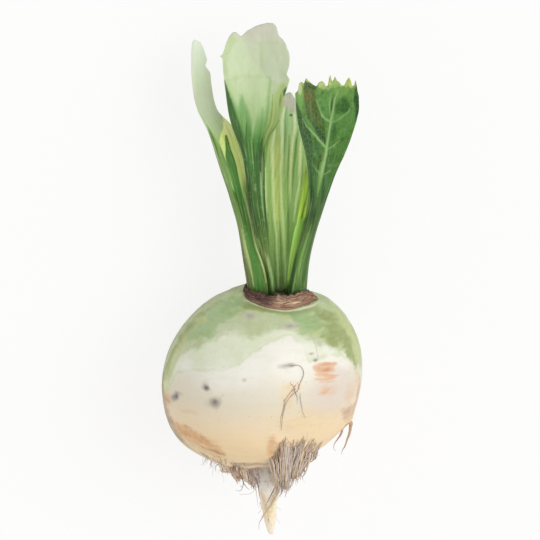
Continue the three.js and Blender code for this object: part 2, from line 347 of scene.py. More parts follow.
# %% Table
HALF = 3.0  # of the table's width in metres
TABLE_GLOW = 0.8

table_mesh = bpy.data.meshes.new("table")
corners = [(-HALF, -HALF, 0), (HALF, -HALF, 0), (HALF, HALF, 0), (-HALF, HALF, 0)]
table_mesh.from_pydata(corners, [], [(0, 1, 2, 3)])
table = added("table", table_mesh)
table_mesh.materials.append(bpy.data.materials.new("table_white"))
graph = Graph(table_mesh.materials[0])
matt = graph.node("BsdfDiffuse", inputs={"Color": (247, 246, 243)})
glow = graph.node("Emission", inputs={"Color": WHITE, "Strength": 1})
glowing = graph.seen_directly() * TABLE_GLOW
surface = graph.node("MixShader", inputs={0: glowing, 1: matt, 2: glow})
graph.node("OutputMaterial", inputs={"Surface": surface})
table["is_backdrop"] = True
print("Table is", 2 * HALF, "m wide")

# %% Light
SKY_STRENGTH = 0.72
LAMP_STRENGTH = 1.1
LAMP_SPREAD = math.radians(40)
LAMP_FROM = Vector((0.62, 0.28, 0.85))

scene.world = bpy.data.worlds.new("studio")
graph = Graph(scene.world)
sky, backdrop = [
    graph.node("Background", inputs={"Strength": strength, "Color": WHITE})
    for strength in (SKY_STRENGTH, 1)
]
both = graph.node("MixShader", inputs={0: graph.seen_directly(), 1: sky, 2: backdrop})
graph.node("OutputWorld", inputs={"Surface": both})
lamp = added("lamp", bpy.data.lights.new("lamp", "SUN"))
lamp.data.energy = LAMP_STRENGTH
lamp.data.angle = LAMP_SPREAD
lamp.rotation_euler = LAMP_FROM.to_track_quat("Z", "Y").to_euler()
print("Lamp shines from", [round(v, 2) for v in LAMP_FROM.normalized()])

# %% [markdown]
# ## Noise and meshes in numbers
#
# Small unevenness can be made with modifiers, or worked out point by point. Working it out keeps
# full control of where it goes, and a fixed seed gives the same beet every time. The noise here
# is the classic kind: random values on a grid of cubes, blended smoothly inside each cube.

# %% Noise for shapes
NOISE_TABLE = np.random.default_rng(7).uniform(-1, 1, 4096)
CELL_KEYS = np.array([73856093, 19349663, 83492791])  # large primes mix up the cells' numbers


def clouds(points, size, seed=0, octaves=2):
    """Smooth random values from -1 to 1 at points in mm, with lumps of about that size."""
    total = np.zeros(len(points))
    for octave in range(octaves):
        spots = np.asarray(points, float) / size * 2**octave + 31.7 * (seed + octave)
        cell = np.floor(spots).astype(np.int64)
        inside = ease(spots - cell, 0, 1)
        for corner in range(8):
            offset = np.array([corner & 1, corner >> 1 & 1, corner >> 2])
            near = np.where(offset, inside, 1 - inside).prod(axis=1)
            keys = (cell + offset) @ CELL_KEYS
            total += near * NOISE_TABLE[(keys + 977 * seed) & 4095] / 2**octave
    return total


print("Sample of noise:", round(float(clouds([[1.5, 2, 3]], 10)[0]), 3))

# %% Making and reading meshes


def points_of(mesh):
    """The points of a mesh in mm, as rows of x, y and z."""
    flat = np.empty(len(mesh.vertices) * 3, np.float32)
    mesh.vertices.foreach_get("co", flat)
    return flat.reshape(-1, 3).astype(float) / MM


def add_piece(name, points, faces, material, nodes, stored=None):
    mesh = bpy.data.meshes.new(name)
    placed = np.asarray(points, float) + (0, 0, AXIS_HEIGHT)
    mesh.from_pydata((placed * MM).tolist(), [], faces)
    mesh.shade_smooth()
    for key, values in (stored or {}).items():
        layer = mesh.attributes.new(key, "FLOAT", "POINT")
        layer.data.foreach_set("value", np.asarray(values, np.float32))
    mesh.materials.append(material)
    piece = added(name, mesh)
    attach(piece, "root")
    if nodes:
        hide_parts(*nodes)
    print(name, "has", len(points), "points and", len(faces), "faces")


# %% [markdown]
# ## The root's shape
#
# A beet's root is a round body with no hard edges. The CAD solid has the right size but flat
# facets, so a copy is covered with a fine even net of quads (a voxel remesh), relaxed, and
# divided once more. That net then carries every wrinkle, pit and scar as real geometry.

# %% A fine even net over the root
NET_SIZE = 1.26


def even_net(node, size, relax):
    """A copy of a CAD node as a fine smooth net: its points in mm and its faces."""
    copy = added("net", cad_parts[node].data.copy())
    for kind, settings in {
        "WELD": {"merge_threshold": 0.01 * MM},
        "REMESH": {"mode": "VOXEL", "voxel_size": size * MM},
        "SMOOTH": {"factor": 0.5, "iterations": relax},
        "SUBSURF": {"levels": 1},
    }.items():
        modifier = copy.modifiers.new(kind, kind)
        for key, setting in settings.items():
            setattr(modifier, key, setting)
    bpy.context.view_layer.update()
    result = copy.evaluated_get(bpy.context.evaluated_depsgraph_get()).to_mesh()
    points = points_of(result) - (0, 0, AXIS_HEIGHT)
    faces = [tuple(face.vertices) for face in result.polygons]
    bpy.data.objects.remove(copy)
    return points, faces


skin_points, skin_faces = even_net("root", NET_SIZE, relax=8)
print("Net over the root:", len(skin_points), "points")

# %% [markdown]
# ## Where the strands meet the skin
#
# Each thin root is a tapered six-sided tube in the CAD model. Walking over its mesh ring by ring,
# from the middle of one end cap, gives its middle line and its thickness. The finished strands
# follow those lines, and the skin rises in a little mound to meet each one.

# %% Middle lines of the CAD strands
STRANDS = [name for name in sorted(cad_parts) if "root_" in name or "rootlet" in name]
STRAND_SIDES = 6


def rings_from(start, near):
    """The points of a mesh in layers, by their number of steps from the start."""
    layers, seen = [[start]], {start}
    while layers[-1]:
        layers.append(sorted({n for point in layers[-1] for n in near[point]} - seen))
        seen.update(layers[-1])
    return layers[1:-2]


def middle_line(node):
    """A strand's middle points and radii in mm, from the skin to its tip."""
    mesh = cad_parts[node].data
    spots, merged = np.unique(np.round(points_of(mesh), 3), axis=0, return_inverse=True)
    near = {index: set() for index in range(len(spots))}
    for edge in mesh.edges:
        a, b = (int(merged.ravel()[v]) for v in edge.vertices)
        near[a].add(b)
        near[b].add(a)
    all_rings = (rings_from(start, near) for start in near)
    layers = next(r for r in all_rings if {len(ring) for ring in r} == {STRAND_SIDES})
    rings = [spots[layer] for layer in layers]
    middles = np.array([ring.mean(axis=0) for ring in rings]) - (0, 0, AXIS_HEIGHT)
    radii = np.array([np.linalg.norm(r - r.mean(axis=0), axis=1).mean() for r in rings])
    from_skin = 1 if radii[0] >= radii[-1] else -1
    return middles[::from_skin], radii[::from_skin]


strand_lines = {name: middle_line(name) for name in STRANDS}
thickest = max(radii.max() for _, radii in strand_lines.values())
print(len(strand_lines), "strands, the thickest", round(thickest, 2), "mm in radius")

# %% [markdown]
# ## Marks on the skin
#
# Pulled from the soil, a beet carries small bruises, rubbed streaks and a dry scab. Each mark is
# placed by the angle round the root (0 on top, 90 on the right) and by y. The same numbers sink
# the skin and are stored on its points, so a mark's colour and its hollow always agree.

# %% Coordinates on the skin
skin_y = skin_points[:, 1]
off_middle = skin_points[:, 0] - middle_x(skin_y)
around = np.degrees(np.arctan2(off_middle, skin_points[:, 2]))
skin_radius = np.hypot(off_middle, skin_points[:, 2])


def turned(angle):
    """The way round from an angle to every skin point, in degrees from -180 to 180."""
    return (around - angle + 180) % 360 - 180


def spot(angle, y, wide, high, strength):
    """A ragged oval spot of the given strength, its half sizes in mm, and 0 outside it."""
    aside = np.radians(turned(angle)) * skin_radius / wide
    off = np.hypot(aside, (skin_y - y) / high) * (1 + 0.3 * clouds(skin_points, wide * 0.6, 3))
    return np.maximum(1 - off, 0) * strength


STREAK_SLOPE = 0.13  # streaks run down to the right


def streak_mask(start, end, y, half, strength):
    """A thin streak across the skin, from one angle to another."""
    length = ease(around, start - 3, start + 5) * (1 - ease(around, end - 7, end + 2))
    wobble = y - STREAK_SLOPE * (around - 38) + 0.7 * clouds(skin_points * (0.25, 1, 0.25), 2, 5)
    return strength * length * np.maximum(1 - np.abs(skin_y - wobble) / (1.5 * half), 0)


def union(masks):
    """Overlapping marks as one: the result never passes 1."""
    return 1 - np.prod([1 - mask for mask in masks], axis=0)


print("Skin radius up to", round(float(skin_radius.max()), 1), "mm")

# %% Bruises, streaks and the scab
# Each bruise: angle, y, half width, half height, strength
BRUISES = """-34 5 2.7 2.2 .9, -35.5 6 3 3.2 .35, -27 -.4 4 3.2 .8, -28.5 -1.8 5.2 3.4 .36,
    -59 -3.4 4.8 2.6 .95, -56 -1.4 4.2 1.5 .5, -63 -5 4.4 2.2 .55, -11.5 10.5 1.6 1.6 .5,
    -18 34.8 4.6 1.9 .46, -24 34.4 4.4 1.6 .36, 17 31.2 6.6 1.7 .58, 29.3 20 2.1 1 .7,
    31.8 17.2 2.1 1.2 .85, 10.5 16.2 4.4 1.6 .5, 15 16.4 3.6 1.3 .55"""
# Each streak: from angle, to angle, y, half height, strength
STREAKS = """34 49 15.2 .6 .85, 30 47 13.6 1.5 .75, 31 46 11.9 1.2 .7, 29 50 9.9 .6 .6,
    30 47 8.4 .6 .55, 32 48 6.8 .5 .45, 34 42 4.4 1.3 .4, 33 44 2.2 1.3 .42, 36 43 -.2 .9 .25,
    150 172 8 .8 .8, 154 168 5.8 1 .6, -150 -128 -6 .9 .7"""
HIDDEN_BRUISES = 14
SCAB = {"angle": -42, "y": -22.5, "turn": 19, "half": 5.2, "slope": 0.24}

chance = np.random.default_rng(11)
hidden = [
    (chance.uniform(95, 265), chance.uniform(-24, 30), w, w * chance.uniform(0.6, 1.1), 0.7)
    for w in chance.uniform(0.9, 2.6, HIDDEN_BRUISES)
]
bruise = union([spot(*mark) for mark in read_rows(BRUISES) + hidden])
streak = union([streak_mask(*mark) for mark in read_rows(STREAKS)])
from_scab = turned(SCAB["angle"])
scab_lift = (skin_y - SCAB["y"] + SCAB["slope"] * from_scab) / SCAB["half"]
scab_off = np.hypot(from_scab / SCAB["turn"], scab_lift) * (1 + 0.25 * clouds(skin_points, 5, 8))
scab = 1 - ease(scab_off, 0.7, 1)
scab_rim = ease(scab_off, 0.75, 0.92) * (1 - ease(scab_off, 0.95, 1.12))
print("Marked points:", [int((mark > 0.3).sum()) for mark in (bruise, streak, scab)])

# %% [markdown]
# ## Wrinkles and the finished root
#
# The skin has slow swellings, faint growth rings across it, and long wrinkles where the body
# narrows into the tap root. All of these move the points along the surface's own normals.

# %% Normals of a net


def normals_of(points, faces):
    """The outward direction at every point of a net of quads."""
    corners = np.array(faces)
    first = points[corners[:, 2]] - points[corners[:, 0]]
    second = points[corners[:, 3]] - points[corners[:, 1]]
    flat = np.cross(first, second)
    total = np.zeros_like(points)
    for column in corners.T:
        np.add.at(total, column, flat)
    return unit(total)


skin_normals = normals_of(skin_points, skin_faces)
print("Normals point outward:", bool((skin_normals[:, 2] * skin_points[:, 2]).mean() > 0))

# %% Wrinkles and mounds
MOUND_HEIGHT = 0.9
MOUND_SPREAD = 1.6

low_down = 1 - ease(skin_y, -38, -24)
on_tap = 1 - ease(skin_y, -50, -41)
wide_rings = clouds(skin_points * (0.06, 1, 0.06), 1.7, 21)
rings = wide_rings + 0.6 * clouds(skin_points * (0.1, 1, 0.1), 0.8, 22)
ring_depth = 0.05 + 0.06 * low_down + 0.05 * ease(skin_y, 22, 36)
turn = np.radians(around)
pleats = clouds(np.c_[7 * np.cos(turn), 7 * np.sin(turn), 0.07 * skin_y], 1.2, 31)
pleat_depth = 0.5 * low_down * (1 - 0.6 * on_tap) * (1 - ease(-skin_y, 70, 81))
push = (
    0.35 * clouds(skin_points, 17, 41)
    + ring_depth * rings
    + pleat_depth * pleats
    - 0.35 * ease(bruise, 0.2, 0.9)
    + 0.6 * on_tap * (1 - ease(-skin_y, 56, 74))
    - 0.14 * streak
    + 0.3 * scab * (0.5 + clouds(skin_points, 1.6, 51))
    + 0.15 * scab_rim
    + 0.35 * ease(skin_y, 36, 39) * clouds(skin_points, 1.8, 61)
)
for middles, radii in strand_lines.values():
    reach = np.linalg.norm(skin_points - middles[0], axis=1)
    push += MOUND_HEIGHT * np.exp(-((reach / (MOUND_SPREAD + radii[0])) ** 2))
skin = skin_points + skin_normals * push[:, None]


CROWN_SINKS = 2.2
CROWN_RISES = 1.9


def settled(points):
    """How far the crown has sunk at its far right, in mm, and below 0 where it has risen."""
    sunk = 1 - ease(points[:, 2], -1, 8)
    risen = ease(points[:, 2], 5, 14)
    return ease(points[:, 0], 9, 21) * (CROWN_SINKS * sunk - CROWN_RISES * risen)


skin[:, 1] -= settled(skin) * ease(skin[:, 1], 33, 38)
skin[:, 2] = np.maximum(skin[:, 2], -AXIS_HEIGHT)
print("Skin moved by", round(push.min(), 2), "to", round(push.max(), 2), "mm")

# %% [markdown]
# ## Brush strokes on the skin
#
# A beet's skin is not one green and one cream: it is laid down in patches that drag along the
# root. Here each patch is a stroke, an oval on the skin with a direction and frayed like the mark
# of a dry brush. A family of strokes becomes one number on each point, which is 0.5 at the edge,
# and the material cuts it there, crisp or soft, with fine noise that the net could not hold.

# %% Strokes
# Each stroke: angle, y, half length, half width in mm, tilt in degrees
STROKES = {
    # These near-white strokes across the top of the body, below the green shoulders, are a painted
    # highlight.
    "painted_highlight": """-55 11.5 6 2.6 8, -20 11 13 5 12, -5 17 9 5 20, 14 20 10 6 0, 27 22 6 2.6 -20,
        44 19.5 4 1.6 -10, 54 13 6 2.2 -25""",
    "deep": """-56 32 8 6 8, -51 27.5 6 3.6 22, -60 25.5 5 3 10, 34 30.5 6.5 3.4 0, 30 34.2 5 3 -10,
        44 28.5 4 2 -25""",
    # The two thin olive strokes at y 37 are a painted shadow along the foot of the dry ring.
    "olive": """56 25.5 10 4.6 -8, 49 22.5 4 2.6 -20, 45 29 6 1.6 -25, 66 20 4.6 5 0,
        68 13.5 2.6 5 10, 62 16 3 2.6 -30, 61 31 7 2.4 -14, -14 37 14 .9 -3, 8 36.6 12 .8 0,
        -75 24 5 10 0, -77 10 3 10 0, -81 -1 3 7 0, 160 24 12 6 0, -150 22 10 7 10""",
    "yellow": """-72 5 3.6 10 0, -70 16 3 8 0, -76 -1 2.6 7 0, 56 -61 1.3 5.6 0, -69 28.5 5 1.6 5,
        76 22 4 9 0, 70 15 1.6 5 0, 40 27.4 4 .5 14, 120 14 8 7 0""",
    "honey": """15 6.5 4.6 2.6 0, 14 1 3 5 0, 30 -10 16 5 -6, 66 -17.5 7 2.4 -14, -20 -26 18 5 -4,
        8.5 -19 2.6 4.6 0, 11 -26 2.6 4 8""",
    "peach": """40 3 5 2.4 -14, 62 -2 4 3.4 -30, -69 -6.5 6 2.2 12, -47 -8 5 1 8,
        8.5 -19.5 1.7 3.4 0, 70 4 3 6 0""",
    "rust": """-54 -18.6 7.5 2.6 -10, -43 -19.5 8 2.8 -14, -33 -22.8 7 2.2 -24,
        -28 -25.6 3.6 1.5 -24, -62 -20 6 3.6 0, -71 -7 4 2 14, 9 -21 1.9 5.5 6, 150 -18 12 6 10,
        -135 -20 10 5 -8""",
    "mauve": """63 -11.5 6 3 -24, 72 -13 5 3.6 -30, -77 -9 3.4 4.4 0, 75 -6 2.4 7 0""",
    # The outline strokes darken the root's left side, away from the lamp, with painted shade.
    "outline": """-124 39.5 8 2 0, -113 37.6 7 2.2 0, -104 35.5 5 3 0, -101 31 6.4 3.6 0,
        -97 25 5.4 4.4 0, -94 17 4 5 0, -91 8 3 6.5 0, -88 -2 2.8 6.5 0, -83 -11 4.8 5.5 0,
        -77 -19 6.4 5 -10, -68 -26 8 2.2 -22, -58 -31 8 1.4 -24""",
    "ochre": """-52 -59 1 4 0, -60 -64.5 1 4 0, -72 -71 1 5 0""",
    # Of the umber strokes, the three at angles -66 to -81 darken the lower left side with painted
    # shade; the rest are small dark marks.
    "umber": """20 -45.6 .9 2.2 0, 30 -49.6 1.1 1.8 20, -74 -17 5 6.5 0, -66 -24 8 3.4 -16,
        -81 -8 3 8 0, -27 -26.6 4 .7 -20, -38 -25 5 .6 -20, -1 -33 7 1 0, 85 -12 2 6 0""",
}
BRISTLE = 0.34  # how far a stroke's ends fray, as a share of its length
DRIFT = 1.6  # how far its sides wander, in mm
bristles = clouds(skin_points * (0.22, 1, 0.22), 1.1, 71)
drift = clouds(skin_points, 5, 72, octaves=3)


def stroke(angle, y, along, across, tilt):
    """0.5 at the frayed edge of a stroke and up to 1 in its heart."""
    aside, lift = np.radians(turned(angle)) * skin_radius, skin_y - y
    slant = math.radians(tilt)
    reach = aside * math.cos(slant) + lift * math.sin(slant) + BRISTLE * bristles * along
    width = lift * math.cos(slant) - aside * math.sin(slant) + drift * min(DRIFT, across * 0.4)
    return np.maximum(1 - 0.5 * np.hypot(reach / along, width / across), 0)


stroke_masks = {
    family: np.max([stroke(*oval) for oval in read_rows(text)], axis=0)
    for family, text in STROKES.items()
}
print("Families of strokes:", *stroke_masks)

# %% The crown under the ring
RING_INSIDE = {"centre": (6.9, 4.2), "radii": (14.3, 11.8)}
RING_OUTSIDE = {"centre": (8.6, 5.5), "radii": (17.2, 17.6)}


def off_ellipse(points, ellipse):
    """1 on the ellipse, less inside it and more outside."""
    (x, z), (wide, high) = ellipse["centre"], ellipse["radii"]
    return np.hypot((points[:, 0] - x) / wide, (points[:, 2] - z) / high)


ring_gap = (off_ellipse(skin, RING_OUTSIDE) - 1) * RING_OUTSIDE["radii"][0]
ring_gap = np.where(skin_y > 25, ring_gap, 30)
print("Points under the ring:", int((ring_gap < 0).sum()))

# %% [markdown]
# ## The root's finish
#
# Where the root stood above the soil the sun turned its shoulders green. The green thins out in
# ragged washes into cream, and the part that was in the soil is tan. One curve says how far down
# each wash reaches at every angle round the root, noise frays its edge, and the strokes lie over
# the washes.

# %% Skin colours
# The bare skin: y in mm, and its red, green and blue there
# The rows from -81 to -45, on the tap root, are made lighter to make up for the shadow that the
# root's body casts there: painted light.
SKIN_BY_HEIGHT = """-81 255 242 220, -68 255 234 200, -56 255 248 236, -45 255 250 240,
    -38 238 214 178, -28 240 211 164, -18 243 217 175, -10 239 219 187, -2 229 218 194,
    6 231 224 206, 16 240 236 224, 40 236 234 220"""
# How far down the full green, the greyish green and the palest green reach: angle, y
GREEN_REACH = """-180 18, -120 12, -90 6, -78 8, -68 18, -62 21, -54 22.5, -47 25.5, -44 31, -30 35,
    0 36, 18 34, 26 28, 36 26.5, 45 23, 51 20, 58 18, 63 14, 69 9, 80 9, 100 14, 135 20, 180 18"""
SAGE_REACH = """-180 12, -120 6, -85 -4, -70 2, -63 14, -52 19.5, -40 24, -30 27.5, -16 26.5, 0 29,
    18 29.5, 26 25.5, 40 22, 55 17, 66 9, 80 5, 120 10, 180 12"""
PALE_REACH = """-180 6, -120 0, -80 -6, -70 -3, -60 7, -45 11, -28 12.5, -18 16.5, -8 22, 2 26,
    14 27.5, 23 25.5, 27 17, 34 17.5, 42 18, 52 16.5, 60 12.5, 68 5, 80 0, 120 8, 180 6"""
PAINT = {  # for each family: two colours, its strength, and how soft its edge is
    # Near-white paint of the painted highlight strokes.
    "painted_highlight": "242 240 230, 234 232 218, .7 .34",
    "honey": "240 214 168, 230 202 154, .6 .4",
    "peach": "230 196 164, 222 178 144, .5 .4",
    "olive": "156 166 104, 128 144 80, .88 .24",
    "deep": "164 188 136, 136 168 110, .75 .16",
    "yellow": "208 210 146, 194 198 126, .6 .32",
    "rust": "228 182 130, 208 148 98, .72 .3",
    "mauve": "208 170 140, 184 138 108, .72 .34",
    "ochre": "236 204 150, 220 182 120, .66 .4",
    # The umber colours are dark marks, and on the lower left painted shade.
    "umber": "164 130 96, 124 100 74, .6 .4",
    # The outline colours are painted shade on the root's left side.
    "outline": "150 140 98, 118 108 74, .5 .5",
}

f = Finish("beet_skin")
side = f.x - f.y.at_least(LEANS_FROM) * LEAN - (1 - f.step(f.y, *TAP_BENDS)) * TAP_STEP
angle = side.turn_from(f.z) * math.degrees(1)
wash = f.noise(13, detail=4, seed=1)
ragged = f.noise(4.2, detail=5, roughness=0.66, seed=2)
brushed = f.noise(1.7, place=f.stretched(0.2, 1, 0.2), seed=3)
grain = f.noise(0.9, detail=2, seed=4)
print("Skin coordinates and noises ready")

# %% Washes of green over cream and tan
f.colour = f.ramp(f.y + wash * 8 + brushed * 4, SKIN_BY_HEIGHT)
f.lay(f.patch(angle, f.y, (46, 2), (26, 15)) * 0.6, (222, 207, 196))
varied = f.step(wash + ragged * 0.7, -0.2, 0.25)
edge_noise = ragged * 4 + brushed * 2.5
edges = []
for reach, drag, soft, strength, light, dark in (
    (PALE_REACH, 5, (-1, 1.6), 0.9, (228, 231, 210), (214, 222, 186)),
    (SAGE_REACH, 5, (-1.2, 2.4), 0.85, (196, 205, 166), (176, 188, 140)),
    (GREEN_REACH, 4, (-1, 2), 0.85, (184, 198, 144), (164, 182, 122)),
):
    mask = f.step(f.y + wash * drag + edge_noise - f.curve(angle, reach), *soft)
    f.lay(mask * strength, f.mix(light, dark, varied))
    edges.append(mask * (1 - mask) * 4)
f.lay((edges[0] + edges[2]) * 0.35, (186, 198, 142))
print("Washes laid")

# %% Strokes over the washes
for family, text in PAINT.items():
    light, dark, (strength, soft) = read_rows(text)
    cut = f.measured(family) + ragged * 0.5 + brushed * 0.4
    colour = f.mix(light, dark, f.step(wash + brushed * 0.8, -0.15, 0.25))
    f.lay(f.step(cut, 0.5 - soft, 0.5 + soft) * strength, colour)
    if family == "peach":
        rubbed = f.step(f.measured("streak"), 0.02, 0.15)
        streaky = (f.measured("streak") + brushed * 0.9 + ragged * 0.3) * rubbed
        f.lay(f.step(streaky, 0.0, 0.4) * 0.8, (226, 176, 134))
        f.lay(f.step(streaky, 0.4, 0.9) * 0.8, (196, 142, 98))
print("Strokes laid")

# %% Marks and pores
mottled = f.step(ragged + grain * 0.5, -0.15, 0.2)
crust = f.mix((238, 200, 150), (216, 158, 106), mottled)
f.lay(f.measured("scab") * (mottled * 0.3 + 0.2), crust)
f.lay(f.measured("scab_rim") * mottled * 0.45, (178, 126, 84))
sore = f.measured("bruise") + ragged * 0.22
f.lay(f.step(sore, 0.02, 0.45) * 0.6, (184, 176, 160))
f.lay(f.step(sore, 0.32, 0.75) * 0.8, (132, 122, 118))
f.lay(f.step(sore, 0.62, 0.95) * 0.8, (72, 64, 60))
pores = f.step(f.noise(1.3, detail=1, seed=9), 0.18, 0.28)
f.lay(pores * 0.3, (176, 152, 116))
print("The skin has", len(f.tree.nodes), "nodes so far")

# %% The crown, the tap root and the grit
gap = f.measured("ring_gap") + ragged * 0.8
lip = f.step(gap, -0.6, 0) * (1 - f.step(gap, 0.2, 0.7))
# A thin band just outside the ring, on its upper side, is a painted shadow of the ring on the skin.
shade_line = f.step(gap, 0.3, 0.8) * (1 - f.step(gap, 1.2, 2.6)) * f.step(f.z, 12, 20)
f.lay(shade_line * 0.5, (122, 136, 82))
f.lay(lip * f.step(f.z, 6, 16) * 0.75, (222, 216, 184))
# Inside the ring the crown is painted almost black: a painted shade under the stalks.
heart = 1 - f.step(f.measured("ring_gap"), -3.5, -2)
f.lay(heart * 0.92, f.mix((50, 44, 34), (112, 104, 66), f.step(ragged + grain, -0.1, 0.3)))
pleated = f.noise(1.1, place=f.stretched(1, 0.12, 1), seed=14)
on_tap = 1 - f.step(f.y, -47, -38)
f.lay(f.step(pleated, 0.02, 0.16) * on_tap * 0.24, (176, 158, 146))
# The light pleat stripes are laid strongly to lighten the tap root's shaded top, a painted light.
f.lay(f.step(-pleated, 0.03, 0.2) * on_tap * 0.8, (250, 238, 216))
gritty = f.mix(WHITE, (170, 146, 118), f.step(ragged + grain, 0.05, 0.4))
f.lay((1 - f.step(f.y + wash * 10, -42, -28)) * (1 - on_tap) * 0.5, gritty, "MULTIPLY")
print("The skin has", len(f.tree.nodes), "nodes so far")

# %% The finished root
relief = brushed * 0.1 + grain * 0.07 + ragged * 0.08 - pores * 0.06 + pleated * on_tap * 0.2
skin_material = f.close(0.46 + ragged * 0.2 + f.measured("scab") * 0.25, relief)
marks = {"bruise": bruise, "streak": streak, "scab": scab, "scab_rim": scab_rim}
marks.update(stroke_masks, ring_gap=ring_gap)
add_piece("beet_root", skin, skin_faces, skin_material, ["root"], marks)

# %% [markdown]
# ## How a leaf is grown
#
# A beet leaf is a thick ribbed stalk that thins into a blade. The CAD solid already says where
# the two edges run, how the leaf bends and how thick it is. Its rows of points are read back,
# smooth curves go through them, and a net about ten times finer is laid along those curves. On
# that net the top edge can be torn, veins can stand up, and both faces meet in a thin rim.

# %% Smooth curves through rows


def smooth_between(stations, values, wanted):
    """Rows of values at the wanted places, on smooth curves through the stations."""
    slopes = np.gradient(values, stations, axis=0)
    index = np.clip(np.searchsorted(stations, wanted) - 1, 0, len(stations) - 2)
    width = (stations[index + 1] - stations[index])[:, None]
    t = (wanted[:, None] - stations[index][:, None]) / width
    rise, bend = t * t * (3 - 2 * t), t * (1 - t)
    start, end = values[index], values[index + 1]
    lean_in, lean_out = slopes[index] * width, slopes[index + 1] * width
    return start + rise * (end - start) + bend * ((1 - t) * lean_in - t * lean_out)


def through(text, values):
    """A number that follows straight lines through rows of a place and a number."""
    places, heights = zip(*read_rows(text))
    return np.interp(values, places, heights)


print("A quarter of the way from 0 to 8:", through("0 0, 4 8", 1))

# %% Reading a leaf back from its CAD solid
CAGE_COLUMNS = 9
TABLE_STEP = 0.2


def read_cage(node):
    """A fine table along a leaf: y, left x, right x, three bend numbers and the thicknesses."""
    found = np.unique(np.round(points_of(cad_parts[node].data), 3), axis=0)
    points = found - (0, 0, AXIS_HEIGHT)
    in_rows = points[np.argsort(points[:, 1], kind="stable")]
    levels, table = [], []
    for row in in_rows.reshape(-1, CAGE_COLUMNS * 2, 3):
        pairs = row[np.argsort(row[:, 0], kind="stable")].reshape(CAGE_COLUMNS, 2, 3)
        x = pairs[:, :, 0].mean(axis=1)
        top, under = pairs[:, :, 2].max(axis=1), pairs[:, :, 2].min(axis=1)
        across = 2 * (x - x[0]) / (x[-1] - x[0]) - 1
        levels.append(row[:, 1].mean())
        table.append([x[0], x[-1], *np.polyfit(across, (top + under) / 2, 2), *(top - under)])
    levels = np.array(levels)
    fine = np.arange(levels[0], levels[-1], TABLE_STEP)
    return fine, smooth_between(levels, np.array(table), fine), across


print("Front leaf table:", read_cage("leaf_front")[1].shape)

# %% Weaving two sides into one net
TABLE_GAP = 0.1  # in mm, under the lowest leaf


def weave(x, y, top, under, numbers):
    """Joins the upper and the under side of a leaf at their rims and closes the foot."""
    height, width = x.shape
    upper = np.arange(x.size).reshape(height, width)
    lower = upper.copy()
    inner = (slice(0, height - 1), slice(1, width - 1))
    lower[inner] = x.size + np.arange((height - 1) * (width - 2)).reshape(height - 1, -1)
    above = np.stack([x, y, top], axis=-1).reshape(-1, 3)
    below = np.stack([x, y, under], axis=-1)[inner].reshape(-1, 3)
    points = np.vstack([above, below])
    points[:, 2] = np.maximum(points[:, 2], TABLE_GAP - AXIS_HEIGHT)
    faces = []
    for sheet, order in ((upper, (0, 1, 3, 2)), (lower, (2, 3, 1, 0))):
        corners = [sheet[:-1, :-1], sheet[:-1, 1:], sheet[1:, :-1], sheet[1:, 1:]]
        quads = np.stack([corners[k].ravel() for k in order], axis=1)
        faces += [tuple(quad) for quad in quads.tolist()]
    foot = upper[0].tolist() + lower[0, 1:-1][::-1].tolist()
    faces.append(tuple(foot[::-1]))
    values = {
        key: np.concatenate([grid.ravel(), grid[inner].ravel()]) for key, grid in numbers.items()
    }
    return points, faces, values


print("A leaf stays", TABLE_GAP, "mm above the table")

# %% Growing the net of a leaf
FOOT_DEPTH = 1.3
ROW_STEP = 0.5
RIM_ROUNDING = 8
RIM_ROWS = 3
BLADE_THINNING = 0.5
BLADE_THINS = (76, 106)  # from this y to that one


def grow_leaf(node, crest, crest_from, width_until, relief, edges=(), columns=90):
    """The points, faces and stored numbers of a leaf. The crest is the outline of its top in
    rows of x and y, and relief gives how far the leaf and its ridges are raised."""
    levels, table, cage_across = read_cage(node)
    s = np.sin(np.linspace(-math.pi / 2, math.pi / 2, columns))
    low_rows = np.arange(levels[0] - FOOT_DEPTH, crest_from, ROW_STEP)
    left, right = table[np.searchsorted(levels, width_until) - 1, :2]
    top_y = through(crest, left + (right - left) * (s + 1) / 2)
    high_share = evenly(int((top_y.max() - crest_from) / ROW_STEP) + 1)
    high_rows = crest_from + (top_y - crest_from) * high_share[:, None]
    y = np.vstack([np.repeat(low_rows[:, None], columns, axis=1), high_rows])
    s = np.broadcast_to(s, y.shape)

    def at(column, limit=None):
        return np.interp(np.minimum(y, limit or y.max()), levels, table[:, column])

    left, right = at(0, width_until), at(1, width_until)
    x = left + (right - left) * (s + 1) / 2
    for direction, offsets in edges:
        x = x + through(offsets, y) * np.clip(s * direction, 0, 1) ** 3
    middle = at(2) * s * s + at(3) * s + at(4)
    by_column = np.stack([at(5 + k) for k in range(CAGE_COLUMNS)], axis=-1)
    lower = np.clip(np.searchsorted(cage_across, s) - 1, 0, CAGE_COLUMNS - 2)
    part = (s - cage_across[lower]) / (cage_across[lower + 1] - cage_across[lower])

    def thick_at(column):
        return np.take_along_axis(by_column, column[..., None], -1)[..., 0]

    thickness = thick_at(lower) * (1 - part) + thick_at(lower + 1) * part
    rows_left = np.arange(len(y))[::-1, None]
    rim = np.sqrt(1 - np.abs(s) ** RIM_ROUNDING) * np.minimum(1, np.sqrt(rows_left / RIM_ROWS))
    thinning = 1 - (1 - BLADE_THINNING) * ease(y, *BLADE_THINS)
    thickness = thickness * thinning * rim
    half = (right - left) / 2
    masks = painted(node, s, x, y, half)
    raised, ridges = relief(s, x, y, half, masks)
    top = middle + raised + thickness / 2 + ridges * rim
    under = middle + raised - thickness / 2 - 0.5 * ridges * rim
    return weave(x, y, top, np.minimum(under, top), {"across": s, "along": y, **masks})


print("A leaf's rows are", ROW_STEP, "mm apart")

